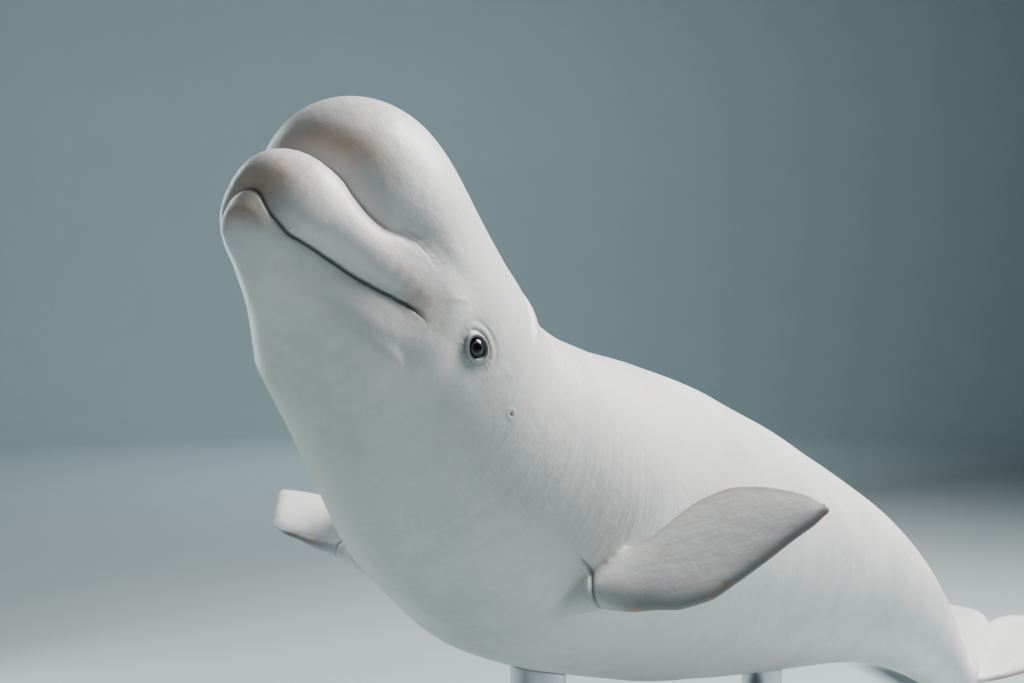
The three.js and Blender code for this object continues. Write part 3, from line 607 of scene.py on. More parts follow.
def fluke_blade():
    curves = [monotone(FLUKE_ROWS, column) for column in (1, 2, 3)]
    out = tip_spaced(0, FLUKE_ROWS[-1, 0], FLUKE_STATIONS)
    rings = []
    for y in np.concatenate([-out[:0:-1], out]):
        s, w = fin_section(*(curve(abs(y)) for curve in curves))
        rings.append(np.stack([s, np.full(FIN_SIDES, y), w], axis=1))
    first, first_tip = rounded_tip(rings[0], np.array((0, -TIP_REACH, 0)))
    last, last_tip = rounded_tip(rings[-1], np.array((0, TIP_REACH, 0)))
    return loft(np.array(first[::-1] + rings + last), first_tip, last_tip)


def outward_faces(mesh):
    form = bmesh.new()
    form.from_mesh(mesh)
    bmesh.ops.recalc_face_normals(form, faces=form.faces)
    form.to_mesh(mesh)
    form.free()
    return mesh


def finished_mesh(piece):
    """The mesh of a piece as its modifiers leave it."""
    bpy.context.view_layer.update()
    return bpy.data.meshes.new_from_object(
        piece.evaluated_get(bpy.context.evaluated_depsgraph_get()))


def joined(body_mesh, blades):
    """The body and its fins as one closed surface."""
    body = in_scene("body", body_mesh)
    for number, (points, faces) in enumerate(blades):
        name = f"blade_{number}"
        blade = in_scene(name, outward_faces(mesh_of(name, points, faces)))
        union = body.modifiers.new("union", "BOOLEAN")
        union.operation = "UNION"
        union.solver = "EXACT"
        union.object = blade
        result = finished_mesh(body)
        body.modifiers.clear()
        body.data = result
        bpy.data.objects.remove(blade)
    made = body.data
    bpy.data.objects.remove(body)
    return made


def nearest_among(points):
    found = KDTree(len(points))
    for number, point in enumerate(points):
        found.insert(point, number)
    found.balance()
    return found


outward_faces(skin_mesh)
fin_blades = [flipper_blade(1), flipper_blade(-1), fluke_blade()]
known = nearest_among([*points_of(skin_mesh), *(p for points, _ in fin_blades for p in points)])
whale_mesh = joined(skin_mesh, fin_blades)


# Fillets where the fins leave the body: the rim of each join is found, its faces are made finer and
# the surface round it is relaxed, as skin that runs from the flank onto a fin without a step.
FILLET_REACH, FILLET_EDGE = 0.020, 0.0064
FILLET_SPLITS, FILLET_ROUNDS, FILLET_PULL = 3, 9, 0.6
NEW_POINT = 2e-5
SLIVER, SCRAP_FACES, REPAIR_ROUNDS = 0.0002, 400, 4
rim = [v.co.copy() for v in whale_mesh.vertices if known.find(v.co)[2] > NEW_POINT]
near_rim = nearest_among(rim)


def without_wide_faces(form):
    bmesh.ops.triangulate(form, faces=[f for f in form.faces if len(f.verts) > 4])


def closed_skin(form):
    """Clears slivers, doubled faces and loose scraps, closes the gaps and turns the faces out."""
    for _ in range(REPAIR_ROUNDS):
        bmesh.ops.remove_doubles(form, verts=form.verts, dist=SLIVER)
        bmesh.ops.dissolve_degenerate(form, edges=form.edges, dist=SLIVER)
        between_two = [v for v in form.verts if len(v.link_edges) == 2]
        bmesh.ops.dissolve_verts(form, verts=between_two)
        without_wide_faces(form)
        crowded = [f for f in form.faces if any(len(e.link_faces) > 2 for e in f.edges)]
        bmesh.ops.delete(form, geom=crowded, context="FACES")
        scraps = [f for island in face_islands(form) if len(island) < SCRAP_FACES for f in island]
        bmesh.ops.delete(form, geom=scraps, context="FACES")
        loose = [v for v in form.verts if not v.link_faces]
        bmesh.ops.delete(form, geom=loose, context="VERTS")
        edges = [e for e in form.edges if len(e.link_faces) == 1]
        if not edges and not between_two:
            break
        filled = bmesh.ops.holes_fill(form, edges=edges, sides=0)["faces"]
        bmesh.ops.triangulate(form, faces=filled)
    bmesh.ops.recalc_face_normals(form, faces=form.faces)
    if form.calc_volume(signed=True) < 0:
        bmesh.ops.reverse_faces(form, faces=form.faces)


def face_islands(form):
    """The faces in groups that hang together."""
    seen, islands = set(), []
    for first in form.faces:
        if first in seen:
            continue
        seen.add(first)
        island = [first]
        for face in island:
            for other in [f for e in face.edges for f in e.link_faces if f not in seen]:
                seen.add(other)
                island.append(other)
        islands.append(island)
    return islands


form = bmesh.new()
form.from_mesh(whale_mesh)
closed_skin(form)
for _ in range(FILLET_SPLITS):
    halve(form, [
        e for e in form.edges
        if e.calc_length() > FILLET_EDGE
        and near_rim.find((e.verts[0].co + e.verts[1].co) / 2)[2] < FILLET_REACH
    ])
without_wide_faces(form)
closed_skin(form)
band = [(v, 1 - near_rim.find(v.co)[2] / FILLET_REACH) for v in form.verts]
band = [(v, FILLET_PULL * min(1.0, 1.5 * nearness)) for v, nearness in band if nearness > 0]
for _ in range(FILLET_ROUNDS):
    moved = []
    for v, pull in band:
        ring = [e.other_vert(v).co for e in v.link_edges]
        moved.append(v.co.lerp(sum(ring, Vector()) / len(ring), pull))
    for (v, _), place in zip(band, moved):
        v.co = place

CREASE_OUT, CREASE_MIDDLE, CREASE_HALF, CREASE_FADE = 0.010, 0.026, 0.056, 0.012
CREASE_SPLITS, CREASE_BAND, CREASE_EDGE = 2, 0.010, 0.0026
ROOT_SWELL, ROOT_GROOVE = (0.0020, 0.009, 0.006), (0.0042, 0.0028)
BLADE_REACH = 0.06


def root_crease(p):
    """Distance out from the crease down each flipper's root, and where that crease runs."""
    out, inside = np.ones(len(p)), np.zeros(len(p))
    for root, span, lead, face in FLIPPER_FRAMES.values():
        q = p - root
        u, c, w = q @ span, q @ lead, np.abs(q @ face)
        ends = smooth_step(np.abs(c - CREASE_MIDDLE), CREASE_HALF - CREASE_FADE, CREASE_HALF)
        here = (1 - ends) * (w < BLADE_REACH)
        out, inside = np.where(here > 0, u - CREASE_OUT, out), np.maximum(inside, here)
    return out, inside


for _ in range(CREASE_SPLITS):
    middles = np.array([(e.verts[0].co + e.verts[1].co)[:] for e in form.edges]) / 2
    out, inside = root_crease(middles)
    form.edges.ensure_lookup_table()
    near = [form.edges[i] for i in np.nonzero((np.abs(out) < CREASE_BAND) & (inside > 0))[0]]
    halve(form, [e for e in near if e.calc_length() > CREASE_EDGE])
without_wide_faces(form)
closed_skin(form)
form.normal_update()
out, inside = root_crease(np.array([v.co[:] for v in form.verts]))
swell = ROOT_SWELL[0] * bell(out + ROOT_SWELL[1], ROOT_SWELL[2])
push = inside * (swell - ROOT_GROOVE[0] * bell(out, ROOT_GROOVE[1]))
for v, step in zip(form.verts, push):
    if step:
        v.co += v.normal * float(step)
form.to_mesh(whale_mesh)
form.free()


# Bend of the spine. The chest is set in the water first, then the neck lifts the head, the trunk
# swings to one side, the tail stock dips and the flukes lift.
SPINE_START = (0.95, (-0.005, -0.672, 1.140), (-1.5, -18.6, 4.3))
NECK_BEND = {"from": 0.42, "to": 0.80, "up": 22.0, "left": -0.6, "roll": 3.7}
REAR_BENDS = [
    {"from": 1.10, "to": 2.60, "up": 2.6, "left": -24.4},
    {"from": 2.30, "to": 3.50, "up": -22.3, "left": 7.1},
    {"from": 3.50, "to": 3.80, "up": 67.2, "left": 0.0},
]
SPINE_STEP, SPINE_FROM, SPINE_TO = 0.01, -0.1, 4.2


def bend_share(s, part):
    t = np.clip((s - part["from"]) / (part["to"] - part["from"]), 0, 1)
    return math.radians(6 * t * (1 - t) / (part["to"] - part["from"]) * SPINE_STEP)


def turned(axes, roll, up, left):
    axis = Vector((roll, -up, left))
    if axis.length == 0:
        return axes.copy()
    return axes @ Matrix.Rotation(axis.length, 3, axis.normalized())


def spine_rows():
    s0, place, (roll, pitch, yaw) = SPINE_START
    axes = Matrix(((0, 1, 0), (-1, 0, 0), (0, 0, 1)))
    for angle, axis in ((yaw, "Z"), (pitch, "Y"), (roll, "X")):
        axes = axes @ Matrix.Rotation(math.radians(angle), 3, axis)
    rows = [(s0, Vector(place), axes)]
    s = s0
    while s > SPINE_FROM:
        _, at, axes = rows[0]
        w = bend_share(s - SPINE_STEP / 2, NECK_BEND)
        axes = turned(axes, NECK_BEND["roll"] * w, NECK_BEND["up"] * w, NECK_BEND["left"] * w)
        s -= SPINE_STEP
        rows.insert(0, (s, at + axes.col[0] * SPINE_STEP, axes))
    s = s0
    while s < SPINE_TO:
        _, at, axes = rows[-1]
        shares = [(part, bend_share(s + SPINE_STEP / 2, part)) for part in REAR_BENDS]
        up = -sum(part["up"] * w for part, w in shares)
        left = sum(part["left"] * w for part, w in shares)
        axes = turned(axes, 0, up, left)
        s += SPINE_STEP
        rows.append((s, at - axes.col[0] * SPINE_STEP, axes))
    return rows


rows = spine_rows()
SPINE_S = np.array([row[0] for row in rows])
SPINE_AT = np.array([row[1][:] for row in rows])
SPINE_LEFT = np.array([row[2].col[1][:] for row in rows])
SPINE_UP = np.array([row[2].col[2][:] for row in rows])


def bend(p):
    i = np.clip(((p[:, 0] - SPINE_S[0]) / SPINE_STEP).astype(int), 0, len(SPINE_S) - 2)
    t = ((p[:, 0] - SPINE_S[i]) / SPINE_STEP)[:, None]

    def at(j):
        return SPINE_AT[j] + SPINE_LEFT[j] * p[:, 1:2] + SPINE_UP[j] * p[:, 2:3]

    return at(i) * (1 - t) + at(i + 1) * t


# What the skin's colour follows: its own straight coordinates, and masks for the warm parts of the
# face, the painted shade in the folds, creases and hollows, and the fins with their margins. The
# bend mirrors, so the faces are turned out.
straight = points_of(whale_mesh)
whale_mesh.vertices.foreach_set("co", bend(straight).ravel())
whale_mesh.flip_normals()
whale_mesh.update()


def store(mesh, name, values):
    kind = "FLOAT_VECTOR" if values.ndim == 2 else "FLOAT"
    field = "vector" if values.ndim == 2 else "value"
    layer = mesh.attributes.new(name, kind, "POINT")
    layer.data.foreach_set(field, values.ravel().astype(np.float32))


def blob(p, centre, reach):
    return np.exp(-np.sum(((p - centre) / reach) ** 2, axis=1))


# How strong each warm spot is, its middle and its reach, on both sides of the face.
WARM_SPOTS = (
    (0.72, (0.036, 0.030, 0.098), (0.05, 0.060, 0.032)),
    (0.55, (0.062, 0.090, 0.094), (0.05, 0.045, 0.032)),
    (1.00, (0.000, 0.020, -0.026), (0.03, 0.036, 0.022)),
    (0.35, (0.010, 0.040, 0.000), (0.04, 0.040, 0.030)),
    (0.85, (0.006, 0.012, -0.074), (0.03, 0.040, 0.020)),
    (0.60, (0.130, 0.105, 0.012), (0.05, 0.030, 0.014)),
    (0.70, (0.194, 0.135, -0.007), (0.014, 0.030, 0.010)),
    (0.55, (0.245, 0.150, -0.030), (0.034, 0.050, 0.026)),
)
sided = straight * (1, 0, 1) + np.abs(straight * (0, 1, 0))
warm = np.clip(sum(strength * blob(sided, *spot) for strength, *spot in WARM_SPOTS), 0, 1)
mouth, crease = mouth_gap(straight)
closing = 1 - smooth_step(straight[:, 0], MOUTH_END - 0.02, MOUTH_END + 0.010)
# Painted shade: the colour is darkened where shade falls, along the mouth's line and under the
# upper lip, in the melon's crease and its wrinkles, in the blowhole, in and round the eyes' lids,
# in the ear holes and down the flippers' root creases.
painted_shade = (0.95 * bell(mouth, 0.0026) + 0.16 * bell(mouth + 0.004, 0.010)) * closing
crease_ends = 1 - smooth_step(straight[:, 0], 0.10, 0.22)
painted_shade += 0.45 * bell(crease, 0.005) * crease_ends * above_mouth(straight)
for wrinkle in CREASE_WRINKLES:
    painted_shade += 0.40 * bell(crease - wrinkle, 0.0024) * behind_crease(straight)
gap, inside = blowhole_gap(straight)
painted_shade += 0.9 * bell(gap, 0.004) * np.sqrt(inside)
for centre in EYES.values():
    e, turn = round_eye(straight, centre)
    painted_shade += 1 - smooth_step(e, 1.08, 1.42)
    painted_shade += 0.60 * bell(e - 1.62, 0.16) * (0.45 + 0.55 * np.clip(np.sin(turn + 0.6), 0, 1))
    painted_shade += 0.55 * bell(e - 1.6, 1.0) * (0.6 + 0.4 * np.abs(np.sin(turn + 0.6)))
for centre in EARS:
    a, b = around(straight, centre)
    painted_shade += 0.8 * bell(np.hypot(a, b), 0.003)
out, inside = root_crease(straight)
painted_shade += 0.75 * bell(out, 0.0024) * inside
# Where the fins are: the grey sets in away from the body, and the rim follows each blade's outline.
FLIPPER_FROM, FLIPPER_TO, FLIPPER_THICK, FLIPPER_SPARE = -0.02, 0.45, 0.045, 0.03
BODY_CLEAR, GREY_CLEAR, GREY_FULL, FLIPPER_RIM = 0.003, 0.020, 0.10, 0.012
FLUKE_FROM, FLUKE_MIDDLE, FLUKE_SPARE, FLUKE_RIM = 3.6, 3.8, 0.01, 0.014
FLUKE_GREY_FROM, FLUKE_GREY_FULL = 0.03, 0.12


def fin_outline(rows, u):
    return monotone(rows, 1)(u), monotone(rows, 2)(u)


fin = np.zeros(len(straight))
fin_place = np.zeros((len(straight), 3))
rim_mask = np.zeros(len(straight))
off_body = np.abs(skin_distance(straight))
for root, span, lead, face in FLIPPER_FRAMES.values():
    q = straight - root
    u, c, w = q @ span, q @ lead, q @ face
    front, rear = fin_outline(FLIPPER_ROWS, u)
    on = (u > FLIPPER_FROM) & (u < FLIPPER_TO) & (np.abs(w) < FLIPPER_THICK)
    on &= (c > rear - FLIPPER_SPARE) & (c < front + FLIPPER_SPARE) & (off_body > BODY_CLEAR)
    grey = smooth_step(u, 0.0, GREY_FULL) * smooth_step(off_body, BODY_CLEAR, GREY_CLEAR)
    fin = np.where(on, grey, fin)
    fin_place[on] = np.stack([u, c, w], axis=1)[on]
    edge = np.minimum(np.abs(c - front), np.abs(c - rear))
    edge = np.minimum(edge, np.maximum(FLIPPER_ROWS[-1, 0] + TIP_REACH - u, 0))
    rim_mask = np.where(on, bell(edge, FLIPPER_RIM), rim_mask)
s, y, z = straight[:, 0], np.abs(straight[:, 1]), straight[:, 2]
front, rear = fin_outline(FLUKE_ROWS, y)
on = (s > FLUKE_FROM) & (s > front - FLUKE_SPARE)
fin = np.where(on, smooth_step(y, FLUKE_GREY_FROM, FLUKE_GREY_FULL), fin)
fin_place[on] = np.stack([y, s - FLUKE_MIDDLE, z], axis=1)[on]
edge = np.minimum(np.abs(s - front), np.abs(s - rear))
rim_mask = np.where(on, np.maximum(rim_mask, bell(edge, FLUKE_RIM) * fin), rim_mask)
store(whale_mesh, "place", straight)
store(whale_mesh, "fin_place", fin_place)
store(whale_mesh, "warm", warm)
# The painted shade of the creases and hollows, kept for the skin's colour.
store(whale_mesh, "painted_shade", np.clip(painted_shade, 0, 1))
store(whale_mesh, "fin", fin)
store(whale_mesh, "rim", rim_mask)
store(whale_mesh, "scar", bell(scar_gap(straight), 0.003))


def shown(name, mesh, material, slot, *nodes):
    """A finished piece, smooth shaded, in place of the CAD nodes that it names."""
    mesh.materials.clear()
    mesh.materials.append(material)
    mesh.polygons.foreach_set("use_smooth", [True] * len(mesh.polygons))
    piece = in_scene(name, mesh)
    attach(piece, "root")
    if nodes:
        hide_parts(*nodes)


class Tone:
    """A value in a material. Arithmetic on it adds Math nodes."""

    def __init__(self, tree, socket):
        self.tree = tree
        self.socket = socket

    @classmethod
    def node(cls, tree, kind, values, output=0, stops=(), **settings):
        made = tree.nodes.new(kind)
        for name, value in settings.items():
            setattr(made, name, value)
        for number, (place, colour) in enumerate(stops):
            elements = made.color_ramp.elements
            stop = elements[number] if number < len(elements) else elements.new(place)
            stop.position = place
            stop.color = colour
        for name, value in values.items():
            if isinstance(value, Tone):
                tree.links.new(value.socket, made.inputs[name])
            else:
                made.inputs[name].default_value = value
        return cls(tree, made.outputs[output])

    def maths(self, operation, *others, clamp=False):
        values = dict(enumerate(others))
        return Tone.node(self.tree, "ShaderNodeMath", values, operation=operation, use_clamp=clamp)

    def __add__(self, other):
        return self.maths("ADD", self, other)

    def __radd__(self, other):
        return self.maths("ADD", other, self)

    def __sub__(self, other):
        return self.maths("SUBTRACT", self, other)

    def __rsub__(self, other):
        return self.maths("SUBTRACT", other, self)

    def __mul__(self, other):
        return self.maths("MULTIPLY", self, other)

    def __rmul__(self, other):
        return self.maths("MULTIPLY", other, self)

    def __abs__(self):
        return self.maths("ABSOLUTE", self)

    def between(self, low, high):
        """0 below low, 1 above high, smooth between."""
        values = {"Value": self, "From Min": low, "From Max": high}
        return Tone.node(self.tree, "ShaderNodeMapRange", values, interpolation_type="SMOOTHSTEP")


def new_material(name):
    material = bpy.data.materials.new(name)
    material.use_nodes = True
    tree = material.node_tree
    return material, tree, tree.nodes["Principled BSDF"]


def set_finish(shader, **values):
    for name, value in values.items():
        shader.inputs[name.replace("_", " ")].default_value = value


def attribute(tree, name, output="Fac"):
    return Tone.node(tree, "ShaderNodeAttribute", {}, output, attribute_name=name)


def stretched(tree, vector, scale):
    return Tone.node(tree, "ShaderNodeVectorMath", {0: vector, 1: scale}, operation="MULTIPLY")


def noise(tree, vector, scale, detail=3.0, roughness=0.5):
    values = {"Vector": vector, "Scale": scale, "Detail": detail, "Roughness": roughness}
    return Tone.node(tree, "ShaderNodeTexNoise", values, "Fac")


def mixed(tree, factor, a, b):
    return Tone.node(tree, "ShaderNodeMix", {0: factor, 6: a, 7: b}, 2, data_type="RGBA")


def bumped(tree, height, strength, distance, below=None):
    values = {"Height": height, "Strength": strength, "Distance": distance}
    if below:
        values["Normal"] = below
    return Tone.node(tree, "ShaderNodeBump", values, "Normal")


# The whale's skin: thick, smooth and near white, with a warm flush on the melon and lips, faint
# grey clouds, pale healed scratches that run along the body, and greyer fins with worn margins.
# Shade is painted dark into its creases, along the mouth's line and round the eyes.
WHITE = (0.850, 0.845, 0.820, 1)
CLOUD = (0.590, 0.620, 0.630, 1)
FLUSH = (0.700, 0.420, 0.270, 1)
# SHADOW is the colour of the painted shade in the creases and hollows.
SHADOW = (0.050, 0.056, 0.066, 1)
FIN_GREY = (0.680, 0.690, 0.690, 1)
FIN_RIM = (0.260, 0.250, 0.250, 1)
RUST = (0.620, 0.330, 0.150, 1)
SCRATCH = (0.860, 0.855, 0.830, 1)
NECK_RINGS_BEGIN, NECK_RINGS_END = (0.40, 0.52), (0.85, 1.25)

skin_material, tree, shader = new_material("beluga_skin")
place = attribute(tree, "place", "Vector")
fin_lie = attribute(tree, "fin_place", "Vector")
on_fin = attribute(tree, "fin")
clouds = noise(tree, place, 5.0, 5, 0.55).between(0.42, 0.70)
patches = noise(tree, place, 26.0, 4, 0.6).between(0.45, 0.75)
colour = mixed(tree, clouds * 0.45 + patches * 0.18, WHITE, CLOUD)
flush = attribute(tree, "warm") * (0.35 + 0.9 * noise(tree, place, 30.0, 5, 0.65))
colour = mixed(tree, flush * 0.80, colour, FLUSH)
along_body = stretched(tree, place, (2.5, 42.0, 42.0))
scratch = 1 - abs(noise(tree, along_body, 1.0, 2, 0.4) - 0.5).between(0.0, 0.012)
scratch = scratch * noise(tree, place, 3.0, 2).between(0.5, 0.62)
colour = mixed(tree, scratch * 0.5 + attribute(tree, "scar"), colour, SCRATCH)
along_fin = stretched(tree, fin_lie, (8.0, 70.0, 40.0))
streaks = noise(tree, along_fin, 1.0, 4, 0.6).between(0.40, 0.66)
colour = mixed(tree, on_fin * (0.30 + 0.22 * streaks), colour, FIN_GREY)
rim_tone = attribute(tree, "rim") * on_fin
colour = mixed(tree, rim_tone * 0.85, colour, FIN_RIM)
spots = noise(tree, fin_lie, 46.0, 3, 0.6).between(0.56, 0.68)
colour = mixed(tree, spots * on_fin * (0.12 + 0.8 * rim_tone), colour, RUST)
# Painted shade: the creases, the mouth's line, the blowhole, the ear holes and the hollows round
# the eyes are darkened towards SHADOW.
colour = mixed(tree, attribute(tree, "painted_shade") * 0.85, colour, SHADOW)
tree.links.new(colour.socket, shader.inputs["Base Color"])
rough = 0.40 + 0.14 * noise(tree, place, 60.0, 3, 0.6) - 0.08 * scratch
tree.links.new(rough.socket, shader.inputs["Roughness"])
pores = noise(tree, place, 620.0, 2, 0.5)
soft = noise(tree, place, 38.0, 3, 0.55)
rings = noise(tree, stretched(tree, place, (58.0, 7.0, 7.0)), 1.0, 3, 0.5)
neck = attribute(tree, "neck")
relief = bumped(tree, soft, 0.35, 0.004)
relief = bumped(tree, rings * neck, 0.5, 0.006, relief)
relief = bumped(tree, streaks * on_fin, 0.10, 0.0015, relief)
relief = bumped(tree, pores, 0.12, 0.0006, relief)
tree.links.new(relief.socket, shader.inputs["Normal"])
set_finish(
    shader, Subsurface_Weight=0.10, Subsurface_Scale=0.02, Subsurface_Radius=(1.0, 0.6, 0.45),
    Coat_Weight=0.12, Coat_Roughness=0.25)

neck_rings = smooth_step(straight[:, 0], *NECK_RINGS_BEGIN)
neck_rings = neck_rings * (1 - smooth_step(straight[:, 0], *NECK_RINGS_END))
store(whale_mesh, "neck", neck_rings * (1 - fin))
FLESH_NODES = (
    "melon", "upper_jaw", "lower_jaw", "head", "neck", "chest", "belly", "loin", "tail_stock",
    "fluke_left", "fluke_right", "flipper_left", "flipper_right",
)
shown("whale_skin", whale_mesh, skin_material, "skin_body", *FLESH_NODES)


# Eyes. Each is a dark wet ball with a slate ring of iris round a wide pupil, set deep in its lids,
# with a clear bulge over the iris.
IRIS_RADIUS, PUPIL_RADIUS, IRIS_RING, PUPIL_EDGE = 0.0100, 0.0074, 0.0090, 0.0006
CORNEA_BULGE = 0.0003
GAZE_FORWARD, GAZE_UP = 0.26, -0.22
EYE_RINGS, EYE_SIDES, EYE_CROWDING = 40, 48, 1.3
PUPIL, IRIS = (0.004, 0.004, 0.006, 1), (0.13, 0.145, 0.16, 1)
EYE_WHITE, WHITE_BEGINS, WHITE_FULL = (0.030, 0.026, 0.026, 1), 0.0025, 0.005

eye_material, tree, shader = new_material("eye")
radius = attribute(tree, "from_pupil")
spokes = noise(tree, stretched(tree, attribute(tree, "iris", "Vector"), (14.0, 1.0, 1.0)), 3.0, 3)
past_pupil = radius.between(PUPIL_RADIUS, PUPIL_RADIUS + PUPIL_EDGE)
iris = past_pupil * (1 - radius.between(IRIS_RING, IRIS_RADIUS))
colour = mixed(tree, iris * (0.6 + 0.5 * spokes), PUPIL, IRIS)
white_part = radius.between(IRIS_RADIUS + WHITE_BEGINS, IRIS_RADIUS + WHITE_FULL)
colour = mixed(tree, white_part * 0.5, colour, EYE_WHITE)
tree.links.new(colour.socket, shader.inputs["Base Color"])
set_finish(shader, Roughness=0.16, Specular_IOR_Level=0.3, Coat_Weight=0.12, Coat_Roughness=0.03)


def eye_ball(side):
    centre_skin = EYES[side]
    normal = outward(centre_skin)
    centre = centre_skin - normal * EYE_DEEP
    normal = normal + (-GAZE_FORWARD, 0, GAZE_UP)
    normal /= np.linalg.norm(normal)
    a = np.array([1.0, 0, 0]) - normal * normal[0]
    a /= np.linalg.norm(a)
    b = np.cross(normal, a)
    turn = np.arange(EYE_SIDES) * 2 * math.pi / EYE_SIDES
    rings = []
    for i in range(1, EYE_RINGS):
        lean = math.pi * (i / EYE_RINGS) ** EYE_CROWDING
        r = EYE_BALL * math.sin(lean)
        bulge = CORNEA_BULGE * max(0.0, 1 - (r / IRIS_RADIUS) ** 2) if lean < math.pi / 2 else 0
        middle = centre + normal * (EYE_BALL * math.cos(lean) + bulge)
        rings.append(middle + np.outer(np.cos(turn) * r, a) + np.outer(np.sin(turn) * r, b))
    front, rear = centre + normal * (EYE_BALL + CORNEA_BULGE), centre - normal * EYE_BALL
    points, faces = loft(np.array(rings), front, rear)
    made = mesh_of(f"eye_{side}", bend(points), faces)
    q = points - centre
    from_pupil = np.hypot(q @ a, q @ b) + np.where(q @ normal < 0, 1.0, 0.0)
    store(made, "from_pupil", from_pupil)
    spoke_place = [np.arctan2(q @ b, q @ a) / math.pi, from_pupil * 20, 0 * from_pupil]
    store(made, "iris", np.stack(spoke_place, axis=1))
    shown(f"eyeball_{side}", outward_faces(made), eye_material, "eye", f"eye_{side}")


for side in EYES:
    eye_ball(side)


# Stand base: a flat steel plate on the floor, painted dark, with rounded corners and a small
# bevel all round, under the middle of the whale.
BASE_CORNER, BASE_BEVEL = 0.060, 0.004
CORNER_STEPS, BEVEL_STEPS = 16, 4
SHARP_DEG = 32


def metal_look(name, low_colour, high_colour, rough, metallic, grain, relief):
    """A finish that varies along a grain; the grain says how finely in x, y and z."""
    material, tree, shader = new_material(name)
    spot = Tone.node(tree, "ShaderNodeTexCoord", {}, "Object")
    fine = noise(tree, stretched(tree, spot, grain), 1.0, 4, 0.6)
    broad = noise(tree, spot, 9.0, 3, 0.55)
    colour = mixed(tree, 0.7 * fine + 0.3 * broad, low_colour, high_colour)
    tree.links.new(colour.socket, shader.inputs["Base Color"])
    roughness = rough[0] + (rough[1] - rough[0]) * (0.5 * fine + 0.5 * broad)
    tree.links.new(roughness.socket, shader.inputs["Roughness"])
    tree.links.new(bumped(tree, fine, 0.3, relief).socket, shader.inputs["Normal"])
    set_finish(shader, Metallic=metallic)
    return material


def on_stand(name, mesh, material, slot, *nodes):
    """A piece of the stand, with its edges kept sharp."""
    shown(name, outward_faces(mesh), material, slot, *nodes)
    mesh.set_sharp_from_angle(angle=math.radians(SHARP_DEG))


def cad_box(node):
    return (np.array(corner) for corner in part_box(node))


def plate_ring(low, high, corner, z):
    """Points round a rectangle with rounded corners, at one height."""
    ring = []
    for quarter, (x, y) in enumerate(((1, 1), (-1, 1), (-1, -1), (1, -1))):
        middle_x = (high if x > 0 else low)[0] - x * corner
        middle_y = (high if y > 0 else low)[1] - y * corner
        for i in range(CORNER_STEPS + 1):
            t = (quarter + i / CORNER_STEPS) * math.pi / 2
            ring.append((middle_x + corner * math.cos(t), middle_y + corner * math.sin(t), z))
    return ring


def eased_edges(bevel, steps, low_z, high_z):
    """Inset and height down the side of a plate or bar, with both its edges rounded."""
    foot = []
    for i in range(steps + 1):
        t = i / steps * math.pi / 2
        foot.append((bevel * (1 - math.sin(t)), low_z + bevel * (1 - math.cos(t))))
    return foot + [(inset, low_z + high_z - z) for inset, z in reversed(foot)]


paint = metal_look(
    "dark_paint", (0.030, 0.033, 0.036, 1), (0.052, 0.055, 0.058, 1), (0.36, 0.52), 0.0,
    (420.0, 420.0, 420.0), 0.0003)
low, high = cad_box("stand_base")
plate = np.array([
    plate_ring(low[:2] + inset, high[:2] - inset, BASE_CORNER - inset, z)
    for inset, z in eased_edges(BASE_BEVEL, BEVEL_STEPS, low[2], high[2])
])
points, faces = loft(plate, plate[0].mean(axis=0), plate[-1].mean(axis=0))
on_stand("display_base", mesh_of("display_base", points, faces), paint, "stand_base", "stand_base")


# Stand supports: a round steel rod under the chest and one under the loin, each in a collar on the
# base, with a cup on top whose upper face is cut to the belly.
ROUND_SIDES = 96
COLLAR_BEVEL, CUP_BEVEL, ROD_BEVEL, ROUND_BEVEL_STEPS = 0.0025, 0.005, 0.0015, 3
CUP_RINGS, CUP_LIP = 14, 0.003
SEARCH_DROP = 0.25
ROD_PLACES = {}

brushed = metal_look(
    "brushed_steel", (0.47, 0.48, 0.49, 1), (0.62, 0.63, 0.64, 1), (0.24, 0.42), 1.0,
    (30.0, 30.0, 900.0), 0.0002)
belly_skin = BVHTree.FromPolygons(
    [v.co[:] for v in whale_mesh.vertices], [p.vertices[:] for p in whale_mesh.polygons])


def round_rings(place, rows):
    """Rings round an upright axis through rows of radius and height."""
    turn = np.arange(ROUND_SIDES) * 2 * math.pi / ROUND_SIDES
    radii, heights = np.array(rows).T
    x, y = place[0] + np.outer(radii, np.cos(turn)), place[1] + np.outer(radii, np.sin(turn))
    return np.stack([x, y, np.tile(heights[:, None], (1, ROUND_SIDES))], axis=2)


def round_bar(name, place, bevel):
    """A rod or collar of the CAD node's size, with both its ends bevelled."""
    low, high = cad_box(f"stand_{name}")
    edges = eased_edges(bevel, ROUND_BEVEL_STEPS, low[2], high[2])
    rings = round_rings(place, [((high - low)[0] / 2 - inset, z) for inset, z in edges])
    points, faces = loft(rings, rings[0].mean(axis=0), rings[-1].mean(axis=0))
    on_stand(name, mesh_of(name, points, faces), brushed, "stand_metal", f"stand_{name}")


def belly_height(x, y, from_z):
    return belly_skin.ray_cast(Vector((x, y, from_z)), Vector((0, 0, 1)))[0].z


